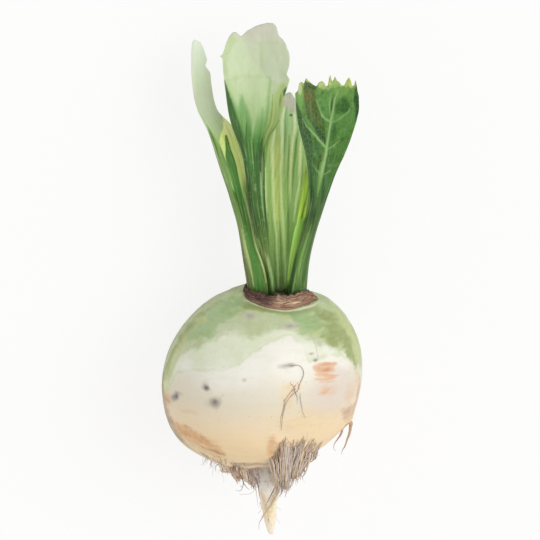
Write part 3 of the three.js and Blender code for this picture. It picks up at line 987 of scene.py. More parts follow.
# %% [markdown]
# ## Ribs, veins and folds
#
# Blades are never flat: they pucker between the veins, their stalks are ribbed lengthwise, and
# their edges curl. Veins, ribs and the streaks of colour between them all run along the leaf, so
# each is a lane: a line of places with a width, tapering to nothing at its ends.

# %% Helpers for relief
FIBRE_SIZE = 1.1
FIBRE_STRETCH = 0.03


def over_blade(x, y, size, seed, stretch=1.0):
    """Noise over a leaf, as a grid. A stretch under 1 draws it out along the leaf."""
    spots = np.c_[x.ravel(), y.ravel() * stretch, np.zeros(x.size)]
    return clouds(spots, size, seed).reshape(x.shape)


def fibres(s, y, count, seed):
    """Fine ridges that run along the leaf."""
    return over_blade(s * count, y, FIBRE_SIZE, seed, FIBRE_STRETCH)


def between(y, start, full, fade, end):
    """0 before start and after end, and 1 from full to fade."""
    return ease(y, start, full) * (1 - ease(y, fade, end))


def lane_reach(u, y, scale, points, wide_scale):
    """Distance in mm from the edge of a lane, below 0 inside it. Its points are along, across
    and half width, and the two scales turn the last two into mm."""
    along, across, wide = (np.array(column) for column in zip(*sorted(points)))
    slope = (np.interp(y + 1, along, across) - np.interp(y - 1, along, across)) / 2 * scale
    off = np.abs(u - np.interp(y, along, across)) * scale / np.sqrt(1 + slope * slope)
    beyond = np.maximum(along[0] - y, y - along[-1])
    return np.maximum(off - np.interp(y, along, wide) * wide_scale, beyond)


def lanes(u, y, scale, soft, text, wide_scale=None):
    """Lanes parted by ";" as one mask: 0.5 on their edges, fading over the soft width in mm."""
    wide = wide_scale or scale
    reaches = [lane_reach(u, y, scale, read_rows(lane), wide) for lane in text.split(";")]
    return np.clip(0.5 - np.min(reaches, axis=0) / soft, 0, 1)


print("Halfway up an edge:", between(np.array([5.0]), 0, 10, 20, 30)[0])

# %% Lanes of the broad pale leaf
# Each kind: softness in mm, then lanes parted by ";" of points (along, across, half width)
LANES = {}
LANES["leaf_front"] = {
    "dark": (1.2, """136 -1 .02, 115 -.82 .23, 110 -.8 .24, 105 -.86 .17, 99 -.9 .18,
        94 -.85 .2, 80 -.6 .2, 72 -.5 .16, 65 -.34 .12, 58 -.16 .16, 50 -.2 .16, 42 -.3 .14;
        111 .6 .02, 107 .66 .12, 103 .66 .18, 99 .62 .18, 96.5 .6 .1; 96 .88 .02, 91 .88 .1,
        85 .9 .06, 80 .86 .1, 72 .9 .12, 63 .94 .06; 133.6 .97 .02, 132 .95 .05, 130 .96 .02;
        105 .28 .02, 103 .27 .07, 101 .27 .01"""),
    "tongue": (2.2, """131 -.86 .02, 122 -.72 .13, 110 -.64 .16; 129.6 -.48 .02, 125 -.46 .15,
        104 -.35 .45, 98 0 1.1; 119.8 .15 .01, 109 .2 .13, 103 .2 .3; 124 .28 .01, 117 .3 .07,
        112 .38 .12, 105 .4 .3; 137.5 .44 .01, 121 .47 .05, 115 .52 .08, 109 .6 .16, 103 .6 .3"""),
    "deep": (1.0, """118 -.33 .02, 113 -.36 .07, 108 -.46 .1, 104 -.5 .02; 111 .06 .02,
        98 .15 .2, 90 .26 .16, 82 .3 .12, 76 .35 0; 113 .44 .02, 109 .44 .07, 104 .42 .06,
        100 .42 0; 78 .2 .02, 72 .3 .12, 64 .4 .1, 60 .4 0"""),
    "olive": (2.4, """135 .86 .08, 128 .78 .2, 121 .76 .24, 115 .8 .2, 109 .85 .1, 106 .9 0;
        66 -.75 .1, 62 -.6 .15, 56 0 .5, 51 .1 .4, 48 .1 0"""),
    "olive_line": (0.7, """130 .58 .01, 111 .7 .05, 107 .74 0; 127 .72 .01, 112 .86 .02;
        120 .98 .02, 113 .95 .06, 104 .97 0; 131 .86 .01, 128 .86 .03, 124 .88 0"""),
    "pale": (1.2, """128 -.06 .2, 111.4 0 .01; 97 .56 .01, 91 .62 .08, 78 .66 .05, 74 .7 0;
        112 -.1 .02, 107 -.08 .06, 98 -.1 0; 58 .5 .05, 52 .55 .2, 45 .6 .2, 41 .6 0"""),
    "spring": (1.8, """135.5 -.84 .05, 131 -.82 .12, 119 -.68 .06, 115 -.66 0; 137.2 -.62 .05,
        136.2 -.76 .14, 135 -.88 .08; 155 -.86 .1, 153 -.7 .16, 151 -.8 .1, 144 -.96 .06,
        138 -.98 .03; 138 .97 .02, 136 .98 .06, 134 .96 .02"""),
    "cloth": (0.9, """152.6 .42 .12, 151.8 .52 .34, 149 .56 .42, 142 .58 .44, 137 .68 .3,
        134 .8 .1"""),
    "fold": (1.6, """152.4 .26 .04, 143 .18 .07, 137 .1 .02; 152.9 .4 .2, 152.2 .44 .24,
        151.7 .5 .1; 138 -.2 .3, 137.2 -.1 .35, 136.6 0 .1"""),
}
print("The broad pale leaf:", len(LANES["leaf_front"]), "kinds of lane")

# %% Lanes of the long leaf on the left
LANES["leaf_left"] = {
    "strip": (1.0, """115.6 -.82 .02, 112.5 -.84 .12, 108 -.78 .22, 102 -.72 .3, 86 -.7 .32,
        68 -.6 .36, 58 -.6 .36, 41 -.5 .3"""),
    "spear": (0.5, """110.8 .28 .09, 105 .12 .2, 102 .05 .32, 98 0 .4, 91 0 .36, 64 .2 .44,
        48 .14 .56, 41 .12 .5"""),
    "dark": (0.7, """113.4 -.84 .02, 110 -.82 .07, 105 -.8 .07, 95 -.86 0; 107 -.5 .01,
        104 -.44 .06, 100 -.4 .07, 97 -.4 .01; 88 -.5 .01, 84.5 -.3 .2, 80 -.12 .16,
        74 -.05 .16, 68 0 .06; 76 .5 .03, 70 .54 .1, 64 .56 .1, 58 .6 .04; 102.5 .3 .02,
        100 .36 .03, 96 .38 0"""),
    "edge": (0.8, """112 -1 .03, 95 -.97 .08, 66 -.98 .08, 46 -.9 .2, 41 -.9 .2; 96 1 .03,
        90 .98 .06, 84 .98 .03"""),
    "cream": (0.7, """86 .68 .02, 80 .7 .12, 73 .76 .14, 66 .84 .12, 46 .9 .03; 70 -.55 .02,
        56 -.4 .16, 43 -.34 .05"""),
    "glow": (1.2, """110 .55 .04, 104 .5 .1, 96 .52 .1, 88 .5 .08, 82 .5 0; 112 0 .05,
        108 -.1 .12, 103 -.2 .12, 98 -.3 .04; 94 -.3 .02, 90 -.35 .16, 86 -.4 .06; 108 .8 .04,
        101 .84 .1, 96 .84 .04"""),
}
print("The long leaf on the left:", len(LANES["leaf_left"]), "kinds of lane")

# %% Lanes of the ribbed leaf behind
LANES["leaf_back"] = {
    "rib": (1.0, """119 10.5 .4, 114 9.7 .6, 110 9 .65, 100 9 .7, 90 8.4 .55, 80 8.5 .6,
        75 8.8 .85, 68 9.2 .9, 60 9.7 .7, 50 10.3 .7, 41 10.3 .4; 107 5.8 .3, 104 5.3 .6,
        100 4.65 .75, 90 4.8 .7, 80 5 .75, 72 5.4 .75, 65 6.2 .65, 55 6.6 .65, 45 7.2 .5,
        41 7.2 .2; 116 14.2 .3, 112 14.7 .6, 108 14.8 .75, 104 14 .6, 100 13.4 .6, 92 12.8 .45,
        84 12.6 .4, 78 12.5 0; 104 17.6 .1, 100 17.3 .6, 94 17 .6, 86 16.6 .45, 78 15 .6,
        70 14 .2; 92 1.4 .2, 84 1.5 .35, 74 2 .35, 70 2.2 0"""),
    "gold": (0.9, """110 6.6 .2, 100 6.7 1, 73 6.9 .7, 66 7.6 0; 104 3.2 .2, 100 2.9 .4,
        95 2.8 0"""),
    "dark": (0.7, """116 11.2 .15, 112 10.4 .2, 104 10.3 .35, 90 10 .1; 105 12.3 .2,
        100 12.1 .4, 80 11.3 .1; 107 16.4 .1, 103 15.6 .45, 98 15 .6, 92 14.2 .35, 86 13.8 .3,
        80 13.5 0; 96 18.4 .1, 90 18 .3, 84 17.4 .2; 80 11.6 .2, 72 11.7 .5, 57 11.6 .3;
        74 2.3 .3, 60 2.6 .5, 54 2.4 .1; 57 .4 .4, 52 1.6 .5, 45 5 1, 41 5.6 1; 106 4.2 .1,
        103 2.8 .4, 92 .6 .3; 70 8 .1, 64 8.2 .3, 42 8.8 .3"""),
    "mint": (1.0, """114 11.4 .2, 110 11.5 .5, 95 10.9 0; 84 14.4 .2, 80 14.8 .7, 74 14.6 .7,
        69 13.6 .2; 96 16 .2, 90 15.4 .5, 84 15 .3"""),
}
print("The ribbed leaf behind:", len(LANES["leaf_back"]), "kinds of lane")

# %% Lanes of the dark veined leaf
# Its veins, across from -1 to 1, with half widths in mm
VEINS = """131 .36 .2, 126.5 .22 .3, 120 .15 .38, 113 .1 .42, 107 .05 .5, 104 .04 .6, 100 .01 .68,
    96 -.03 .66, 92.5 -.06 .4, 89 -.08 .02; 106.2 0 .5, 109.3 -.28 .42, 113.2 -.55 .36,
    115.8 -.72 .28, 119.5 -.82 .05; 117.2 .12 .35, 119.4 -.13 .42, 121 -.2 .2, 124 -.29 .12,
    127.5 -.38 .02; 119 .12 .05, 122 .07 .2, 125 .07 .22, 128.5 .1 .02; 94.3 .05 .4, 94.9 .35 .32,
    96.6 .52 .05; 105.3 .08 .2, 107 .35 .25, 109.5 .55 .02; 116.8 .15 .1, 118.5 .4 .2, 121.5 .65 .2,
    124.5 .74 .02; 94 -.1 .3, 96.3 -.42 .25, 98.5 -.6 .02"""
LANES["leaf_right"] = {
    # Among the dark lanes, the one from 127.5 to 119 along is a painted shadow beneath the midrib's
    # fork, and the second lobe lane is a painted shadow under the lower left vein.
    "dark": (1.1, """126 -.99 .02, 113 -.8 .2, 108 -.78 .18, 96 -.84 .1, 90 -.78 .12,
        84 -.58 .2, 78 -.4 .22, 69 -.25 0; 136.5 .98 .03, 127 .93 .1, 118 .98 .02; 119 -.56 .01,
        113 -.3 .1, 110 -.15 .1, 107.6 -.05 .03; 134.6 -.62 .02, 132.8 -.45 .12, 131 -.36 .04;
        127.5 .17 .01, 124 .13 .05, 119 .1 0; 93 .2 .02, 88 .36 .12, 83 .5 .12, 79 .5 0;
        59 -.92 .06, 54 -.86 .13, 41 -.8 .2; 80 -.1 .02, 76 0 .2, 68 .2 0"""),
    "lobe": (0.9, """135.4 -.7 .03, 130 -.54 .19, 126 -.54 .19, 122 -.48 .23, 118 -.34 .24,
        107.5 -.03 .02; 104 -.24 .05, 100 -.26 .13, 96.5 -.28 .05"""),
    "shade": (2.2, """128 .5 .1, 124 .5 .26, 121 .42 .14; 117 .3 .05, 113 .3 .12, 108 .26 .08;
        103 .3 .1, 98 .3 .12, 95.6 .3 .05; 111 -.5 .1, 106 -.4 .16, 101 -.55 .1, 94 -.6 .1;
        70 .7 .1, 64 .7 .2, 46 .6 .2"""),
    "bright": (1.0, """133.8 -.84 .06, 130 -.84 .1, 126 -.84 .07, 122.5 -.84 0; 88 -.97 .02,
        84 -.9 .08, 79 -.87 .1, 75 -.95 .03; 74 .06 .01, 60 -.2 .17, 54 -.2 .12, 50 -.2 0;
        53 -.42 .02, 43 -.58 .14, 40 -.6 .1; 133 .5 .3, 130.5 .45 .2, 127.5 .4 .04;
        100 -.05 .12, 94 -.08 .2, 89 -.1 .12, 85 -.12 0"""),
}
print("The dark veined leaf:", len(LANES["leaf_right"]), "kinds of lane")

# %% Lanes of the small bright leaf
LANES["leaf_inner"] = {
    "bright": (0.7, """92.5 -.05 .1, 88 -.12 .3, 84 -.26 .34, 80 -.43 .34, 76 -.55 .34,
        73.2 -.6 .3; 79 .5 .1, 76 .5 .22, 74 .45 .1"""),
    "lime": (0.8, """73.5 -.5 .4, 58 -.4 .55, 52 -.35 .55, 46 -.4 .4, 43 -.4 0"""),
    "dark": (0.7, """88 .6 .1, 82 .3 .12, 77 .05 .2, 73.4 0 .25; 86 -.95 .08, 78 -.98 .1,
        70 -.98 .1; 72.8 .75 .3, 62 .8 .35, 52 .8 .35, 44 .7 .35"""),
}
print("The small bright leaf:", len(LANES["leaf_inner"]), "kinds of lane")

# %% Masks from the lanes


def painted(node, s, x, y, half):
    """The masks of a leaf. On the ribbed leaf, lanes are placed by x instead of across."""
    u, scale = (x, 1.0) if node == "leaf_back" else (s, half)
    return {key: lanes(u, y, scale, soft, text) for key, (soft, text) in LANES[node].items()}


print("Lanes:", {node: len(group) for node, group in LANES.items()})

# %% Relief of the two pale leaves


def front_relief(s, x, y, half, masks):
    """Slow swells and a midrib on the blade, and ribs on its stalk."""
    blade = ease(y, 92, 118)
    ribs = fibres(s, y, 6, 71) * (1 - 0.85 * blade)
    raised = blade * (0.7 * over_blade(x, y, 10, 72) + 0.25 * over_blade(x, y, 3.6, 73))
    raised += 1.2 * ease(s, 0.78, 1) * between(y, 98, 112, 128, 140)
    raised -= 0.9 * ease(-s, 0.82, 1) * between(y, 100, 112, 140, 150)
    raised += 0.3 * masks["cloth"] * blade
    midrib = np.exp(-(((s - 0.06) * 4.5) ** 2)) * between(y, 84, 100, 118, 146)
    return raised, 0.28 * ribs + 0.3 * midrib


def left_relief(s, x, y, half, masks):
    """A pale lobe that laps over a channelled stalk with a rim."""
    blade = ease(y, 88, 112)
    ribs = fibres(s, y, 5, 74) * (1 - 0.6 * blade)
    boundary = 109.5 + 7 * (s + 0.3) + 0.5 * over_blade(x, y, 2.5, 75)
    lobe = ease(s, -0.5, -0.3) * (1 - ease(y - boundary, -0.35, 0.35)) * ease(y, 84, 97)
    channel = np.exp(-(((s - 0.12) / 0.32) ** 2)) * between(y, 52, 62, 98, 112)
    rim = ease(s, 0.6, 0.74) * between(y, 46, 52, 84, 96)
    masks["lobe"] = lobe
    raised = 0.5 * blade * over_blade(x, y, 8, 76) + 0.55 * lobe
    return raised, 0.22 * ribs - 0.5 * channel + 0.45 * rim


print("Relief:", front_relief.__doc__, left_relief.__doc__)

# %% Relief of the other three leaves


def back_relief(s, x, y, half, masks):
    """Ribs that stand up between sunken dark lanes."""
    fine = over_blade(x, y, 0.9, 78, FIBRE_STRETCH)
    raised = 0.4 * ease(y, 96, 114) * over_blade(x, y, 7, 77)
    return raised, 0.55 * masks["rib"] - 0.2 * masks["dark"] + 0.12 * fine


def dark_relief(s, x, y, half, masks):
    """A blade that puckers between its veins, on a ribbed stalk."""
    blade = ease(y, 84, 104)
    vein = masks["vein"] = lanes(s, y, half, 0.8, VEINS, wide_scale=1)
    ribs = fibres(s, y, 5, 79) * (1 - blade)
    pucker = 0.45 * over_blade(x, y, 4.2, 80) + 0.2 * over_blade(x, y, 1.7, 81)
    raised = blade * pucker * (1 - 0.7 * vein) + 0.9 * ease(y, 127, 137) * blade
    raised += 0.7 * blade * over_blade(x, y, 13, 82)
    return raised, 0.3 * ribs + 0.32 * vein


def lime_relief(s, x, y, half, masks):
    """A leaf still folded along its middle."""
    fold = np.abs(s - 0.1) * 0.7 * ease(y, 56, 80)
    return fold, 0.12 * fibres(s, y, 4, 83)


print("Relief:", back_relief.__doc__, dark_relief.__doc__, lime_relief.__doc__)

# %% Outlines of the leaves
# For each leaf: the outline of its top (x y), where that top begins, how far up the CAD width
# is followed, its relief, and how far its left (-1) and right (1) edge swell (y mm)
LEAVES = {
    "leaf_front": {
        "crest": """-16.9 148.4, -16.2 151, -14.7 154.4, -13 156.3, -11.5 156.5, -10.2 155.3,
            -9.2 154.5, -8.2 155.4, -6.6 157, -2.6 159.2, 0 160, 2.7 160.6, 5 160.4, 6.4 159, 7 157,
            7.6 155, 9.3 153.6, 10.7 151.6, 11.7 148.6""",
        "crest_from": 136,
        "width_until": 149,
        "relief": front_relief,
        "edges": [
            (1, "131 0, 133.4 .4, 136.8 .9, 139.2 -.7, 142.5 .1, 146.6 .4, 150 0"),
            (-1, "145 0, 145.9 -.5, 146.5 -1.5, 147 -.4, 147.6 0"),
        ],
    },
    "leaf_left": {
        "crest": """-31.6 146, -31.2 149.5, -30.2 150.9, -28.8 150.2, -27.4 149.6, -26.6 148.2,
            -25.6 145.6, -24.6 142.6""",
        "crest_from": 130,
        "width_until": 140,
        "relief": left_relief,
        "edges": [(1, """88 0, 94 .8, 103 1.3, 112 1.2, 116 .6, 118.4 .2, 133 0, 136.8 .3,
            139.6 -1.1, 143 0""")],
        "columns": 70,
    },
    "leaf_back": {
        "crest": """3.9 113, 5.5 115.6, 7.7 118.4, 10.9 121, 12 121.7, 13.3 121.5, 14.6 119.8,
            16.4 117.6, 17.6 116.2, 19 114.4, 20 112.5""",
        "crest_from": 106,
        "width_until": 113,
        "relief": back_relief,
        "columns": 110,
    },
    "leaf_right": {
        "crest": """14.9 130.2, 16 131.4, 16.4 134.2, 17.6 134.9, 18.6 134, 19.5 136.5, 20.6 135.2,
            22.6 133.4, 24.2 132.6, 25.2 134.3, 26.7 134.9, 27.8 134, 28.4 132.4, 29.3 133.2,
            29.9 137, 30.4 137.5, 31.1 134.6, 31.8 135.4, 32.4 137.1, 33.2 135.2, 34.4 134.4,
            35.5 133, 36.6 133.4, 37.6 135.6, 38.6 137, 39.4 135.4, 40 133.2, 40.8 133.6, 41.5 136,
            42.1 133, 42.6 129.4""",
        "crest_from": 121,
        "width_until": 131,
        "relief": dark_relief,
        "columns": 150,
    },
    "leaf_inner": {
        "crest": "18.4 93, 19.4 95.4, 20.1 96.4, 20.7 95.7, 21.4 93.4",
        "crest_from": 86,
        "width_until": 91.9,
        "relief": lime_relief,
        "columns": 36,
    },
}
nets = {node: grow_leaf(node, **shape) for node, shape in LEAVES.items()}
print({node: len(net[0]) for node, net in nets.items()}, "points")

# %% [markdown]
# ## The leaves' finish
#
# All five leaves share one base: colours along the leaf, broken by long fibres and soft clouds of
# green. Over it come the lanes stored on the net, one mask after another, as a painter lays one
# wash over the last. Fine fibres fray the edge of every lane, so none of them looks cut out.

# %% A finish for leaves


class LeafFinish(Finish):
    """A leaf's material, with its own coordinates: across from -1 to 1, and along in mm."""

    def __init__(self, node, name, slot, colours, fraying, seed):
        super().__init__(name)
        self.node_and_slot = node, slot
        self.across = self.measured("across")
        self.along = self.measured("along")
        self.fibre = self.fibres(7, 22, seed)
        self.fine = self.fibres(22, 14, seed + 1)
        self.cloud = self.noise(7, detail=4, seed=seed + 2)
        self.mottle = self.noise(1.6, seed=seed + 3)
        stalk = 1 - self.step(self.along, 108, 130) * 0.8
        self.level = self.along + self.fibre * stalk * fraying + self.cloud * 5
        self.colour = self.ramp(self.level, colours)

    def fibres(self, count, length, seed):
        """Noise drawn out along the leaf, as its fibres run."""
        inputs = {"X": self.across * count, "Y": self.along / length, "Z": seed}
        return self.noise(1, place=self.node("CombineXYZ", inputs=inputs), seed=seed)

    def brush(self, lane_name, colour, strength, soft=0.5, fray=0.5):
        """Lays a colour over a stored lane, with a frayed edge."""
        edge = self.measured(lane_name) + self.fine * fray + self.mottle * fray * 0.6
        self.lay(self.step(edge, 0.5 - soft, 0.5 + soft) * strength, colour)

    def wash(self, place, size, colour, strength):
        """Lays a soft oval of colour, its place and half sizes as (across, along)."""
        along = self.along + self.cloud * 5
        self.lay(self.patch(self.across, along, place, size) * strength, colour)

    def done(self, contrast, shine=0.45):
        """Adds what every leaf has, fine fibres, mottled tissue and painted shade at its foot, and
        makes the leaf's piece."""
        for fibres in (self.fine, self.fibre):
            self.lay(self.step(fibres, 0.03, 0.22) * contrast, (214, 226, 160))
            self.lay(self.step(-fibres, 0.03, 0.22) * contrast, (40, 66, 22))
        self.lay(self.step(self.mottle, 0.05, 0.3) * contrast * 0.5, (226, 232, 170))
        self.lay(self.step(-self.mottle, 0.05, 0.3) * contrast * 0.6, (50, 82, 30))
        # Painted shade: each leaf is darkened at its foot, where it leaves the crown.
        self.lay((1 - self.step(self.along, 39.5, 43)) * 0.8, (46, 50, 24))
        relief = self.fine * 0.1 + self.fibre * 0.1 + self.mottle * 0.12
        self.close(self.cloud * 0.2 + shine, relief, {"Specular IOR Level": 0.25})
        node, slot = self.node_and_slot
        points, faces, numbers = nets[node]
        add_piece(self.material.name, points, faces, self.material, [node], numbers)


print("Leaves to finish:", len(nets))

# %% The broad pale leaf
COLOURS = """40 58 90 38, 46 78 122 46, 53 102 128 58, 62 92 122 52, 72 56 96 30, 92 46 96 26,
    102 56 110 38, 108 74 130 54, 113 102 152 78, 118 140 178 112, 124 174 200 142, 131 192 210 162,
    138 200 215 174, 149 203 213 181, 155 205 206 184, 161 203 200 184"""
leaf = LeafFinish("leaf_front", "broad_pale_leaf", "pale_leaf", COLOURS, fraying=9, seed=11)
leaf.wash((-0.6, 145), (0.5, 13), (206, 221, 180), 0.6)
leaf.brush("cloth", (198, 208, 178), 0.75, fray=0.4)
leaf.brush("fold", (184, 198, 150), 0.4, soft=0.6)
leaf.brush("spring", (182, 206, 142), 0.55, soft=0.6)
leaf.brush("olive", (172, 193, 116), 0.8, fray=0.6)
leaf.brush("pale", (184, 205, 152), 0.45, soft=0.4, fray=0.4)
TONGUE = "104 54 110 38, 112 72 126 48, 119 98 150 74, 126 118 166 94, 133 148 180 112"
leaf.brush("tongue", leaf.ramp(leaf.level, TONGUE), 0.85, fray=0.8)
leaf.brush("deep", (48, 98, 30), 0.75, soft=0.35)
leaf.brush("olive_line", (112, 138, 56), 0.7, soft=0.3)
on_stalk = leaf.step(leaf.along, 40, 46) * (1 - leaf.step(leaf.along, 98, 112))
leaf.brush("pale", (140, 184, 116), on_stalk * 0.75, soft=0.35)
DARK_EDGE = "60 66 92 32, 80 44 76 28, 104 34 68 28, 118 42 88 26"
leaf.brush("dark", leaf.ramp(leaf.along, DARK_EDGE), 0.92)
leaf.done(leaf.step(-leaf.along, -128, -104) * 0.3 + 0.06, 0.5)

# %% The long leaf on the left
COLOURS = """40 84 118 46, 60 112 152 70, 84 116 158 72, 98 140 176 90, 107 164 194 116,
    112 178 200 144, 119 188 202 166, 128 194 205 172, 135 206 219 184, 143 223 236 208,
    151 232 242 222"""
leaf = LeafFinish("leaf_left", "long_left_leaf", "left_leaf", COLOURS, fraying=6, seed=23)
leaf.lay(leaf.measured("lobe") * 0.94, (236, 248, 150))
leaf.wash((0.7, 113), (0.4, 5), (250, 248, 178), 0.75)
leaf.wash((0.7, 103), (0.25, 4), (252, 240, 168), 0.6)
leaf.brush("glow", (224, 252, 142), 0.8)
STRIP = "42 92 118 54, 62 140 154 92, 80 112 146 78, 104 122 158 86"
leaf.brush("strip", leaf.ramp(leaf.level, STRIP), 0.85, soft=0.4, fray=0.8)
SPEAR = "50 82 140 58, 70 74 132 52, 92 76 146 62, 104 68 132 54, 109 92 122 44"
leaf.brush("spear", leaf.ramp(leaf.along + leaf.fibre * 14, SPEAR), 0.94, soft=0.3, fray=0.35)
leaf.brush("cream", (196, 208, 142), 0.75, soft=0.4)
leaf.brush("dark", (66, 100, 30), 0.72, soft=0.35, fray=0.7)
leaf.brush("edge", (104, 108, 76), 0.75)
leaf.wash((-1, 140), (0.5, 14), (218, 222, 206), 0.6)
leaf.done(leaf.step(-leaf.along, -124, -108) * 0.28 + 0.05, 0.5)

# %% The ribbed leaf behind
COLOURS = """38 64 90 38, 46 100 136 64, 58 134 170 92, 78 160 198 112, 98 176 212 130,
    110 182 216 150, 121 186 208 160"""
leaf = LeafFinish("leaf_back", "ribbed_back_leaf", "ribbed_leaf", COLOURS, fraying=6, seed=37)
leaf.brush("gold", (208, 218, 122), 0.8)
leaf.brush("mint", (156, 206, 138), 0.75)
leaf.brush("dark", (100, 142, 62), 0.72, soft=0.45)
RIB = "44 154 186 112, 66 196 224 140, 96 248 255 184, 113 240 252 206"
leaf.brush("rib", leaf.ramp(leaf.along, RIB), 0.78, fray=0.55)
torn_tip = leaf.step(leaf.y + leaf.x * 0.5 + leaf.mottle * 2, 120.2, 121.6)
leaf.lay(torn_tip * 0.92, (206, 202, 184))
leaf.lay(leaf.patch(leaf.x, leaf.y, (13.1, 112.7), (1.1, 0.7)) * 0.85, (60, 84, 48))
leaf.done(0.3)

# %% The dark veined leaf
COLOURS = """38 54 82 34, 46 76 116 48, 58 88 126 54, 68 74 106 46, 78 58 94 38, 88 64 108 46,
    102 68 114 44, 114 82 132 56, 124 86 138 62, 131 104 150 70, 136 150 182 96"""
leaf = LeafFinish("leaf_right", "dark_veined_leaf", "dark_leaf", COLOURS, fraying=6, seed=51)
leaf.brush("shade", (36, 84, 24), 0.85, fray=0.8)
blotch = leaf.noise(3.6, detail=5, roughness=0.66, seed=58) * leaf.step(leaf.along, 86, 100)
leaf.lay(leaf.step(blotch, 0.02, 0.14) * 0.66, (46, 88, 34))
leaf.lay(leaf.step(-blotch, 0.04, 0.16) * 0.4, (122, 162, 86))
LOBE = "108 56 82 22, 120 62 82 24, 128 84 84 30, 134 62 72 20"
# The lobe lanes include a painted shadow under the lower left vein.
leaf.brush("lobe", leaf.ramp(leaf.along + leaf.mottle * 6, LOBE), 0.85, soft=0.4, fray=0.7)
leaf.wash((-0.64, 128.5), (0.08, 1.8), (124, 86, 46), 0.7)
leaf.brush("bright", (124, 166, 84), 0.72)
tips = leaf.step(leaf.along + leaf.mottle * 7 + leaf.fine * 5, 132, 133.6)
leaf.lay(tips * (1 - leaf.measured("lobe")) * 0.85, (186, 204, 112))
leaf.wash((-0.85, 132), (0.09, 3), (206, 206, 152), 0.75)
leaf.wash((-0.1, 133), (0.18, 2.5), (196, 206, 140), 0.6)
leaf.wash((0.76, 135), (0.1, 3), (200, 208, 104), 0.8)
leaf.wash((0.25, 134.5), (0.16, 3), (150, 184, 104), 0.7)
# The dark lanes include a painted shadow beneath the midrib's fork.
leaf.brush("dark", (24, 64, 22), 0.9, fray=0.3)
cells = {"Scale": 0.55, "Vector": leaf.place}
net = leaf.node("TexVoronoi", {"feature": "DISTANCE_TO_EDGE"}, cells)
netting = (1 - leaf.step(net, 0.02, 0.16)) * leaf.step(leaf.along, 92, 104)
leaf.lay(netting * 0.2, (110, 156, 76))
vein_strength = leaf.step(leaf.along, 87, 103) * 0.6 + 0.25
leaf.brush("vein", (150, 186, 118), vein_strength, fray=0.4)
leaf.done(0.24 - leaf.step(leaf.along, 84, 104) * 0.14)

# %% The small bright leaf
COLOURS = """38 72 110 40, 46 122 176 64, 56 154 216 88, 72 152 216 94, 74 188 222 82,
    80 190 228 94, 88 190 230 108, 97 184 218 116"""
leaf = LeafFinish("leaf_inner", "small_lime_leaf", "lime_leaf", COLOURS, fraying=4, seed=67)
leaf.brush("lime", (206, 253, 128), 0.9)
leaf.brush("dark", (112, 158, 38), 0.75)
leaf.brush("bright", (216, 255, 96), 0.95, soft=0.4)
leaf.done(0.07)

# %% [markdown]
# ## Thin round strands
#
# Rootlets and dry fibres are all thin tapering threads. A curve with a bevel would do, but a mesh
# tube gives each thread its own thickness, tone and waviness, and hundreds of them fit in one
# piece. A bundle collects such tubes: each has a path, radii along it and a tone for its colour.

# %% Bundles of strands
STRAND_RING = 6  # sides of a tube
STRAND_GAP = 0.05  # above the table, in mm


def spread(values, count):
    """A few values spread evenly and joined by straight lines, read at count places."""
    return np.interp(evenly(count), evenly(len(values)), values)


def along_path(path, count):
    """A smooth version of a path, with evenly spread points."""
    path = np.asarray(path, float)
    lengths = np.linalg.norm(np.diff(path, axis=0), axis=1)
    path = path[np.concatenate([[True], lengths > 1e-3])]
    reached = np.concatenate([[0], np.cumsum(lengths[lengths > 1e-3])])
    return smooth_between(reached, path, np.linspace(0, reached[-1], count))


class Bundle:
    """Many thin tubes that become one mesh."""

    def __init__(self):
        self.points, self.faces, self.tone, self.down = [], [], [], []

    def add(self, path, radii, tone):
        """Adds a tube along a path, with its radii spread evenly from end to end."""
        path = np.asarray(path, float)
        steps = len(path)
        heading = unit(np.gradient(path, axis=0))
        level = np.eye(3)[np.argmin(np.abs(heading.mean(axis=0)))]
        side = unit(np.cross(heading, level))
        up = np.cross(side, heading)
        turns = (np.arange(STRAND_RING) * 2 * math.pi / STRAND_RING)[:, None]
        circle = side[:, None] * np.cos(turns) + up[:, None] * np.sin(turns)
        rings = path[:, None] + circle * spread(radii, steps)[:, None, None]
        start = sum(len(p) for p in self.points)
        self.points.append(rings.reshape(-1, 3))
        corners = start + np.arange(steps * STRAND_RING).reshape(steps, STRAND_RING)
        beside = np.roll(corners, -1, axis=1)
        quads = np.stack([corners[:-1], beside[:-1], beside[1:], corners[1:]], axis=-1)
        self.faces += [tuple(quad) for quad in quads.reshape(-1, 4).tolist()]
        self.faces += [tuple(corners[0, ::-1].tolist()), tuple(corners[-1].tolist())]
        self.tone.append(np.full(steps * STRAND_RING, tone))
        self.down.append(np.repeat(evenly(steps), STRAND_RING))

    def piece(self, name, material, slot, nodes=()):
        """Makes one piece of all the tubes, and keeps it above the table."""
        points = np.vstack(self.points)
        points[:, 2] = np.maximum(points[:, 2], STRAND_GAP - AXIS_HEIGHT)
        stored = {"tone": np.concatenate(self.tone), "down": np.concatenate(self.down)}
        print(name, "is made of", len(self.points), "strands")
        add_piece(name, points, self.faces, material, nodes, stored)


# %% [markdown]
# ## The dry ring at the crown
#
# Round the living stalks sits a ring of what older leaves left behind: layers of dry, torn
# fibre, almost black against the stalks and tan at the outer lip. The ring's body is a fine net
# over its CAD solid with layered ridges, and loose fibres wrap round it and fray at the ends.

# %% The ring's body
RING_NET = 0.55
RING_DROP = 0.7  # closes the gap that the CAD solids keep
CROWN_TOP = 40.31  # y of the crown's sloping top at its middle
CROWN_SLOPES = (0.06, 0.109)  # how it falls along x and z


def above_crown(x, y, z):
    """How far a place lies over the crown's sloping top, in mm."""
    return y + x * CROWN_SLOPES[0] + z * CROWN_SLOPES[1] - CROWN_TOP


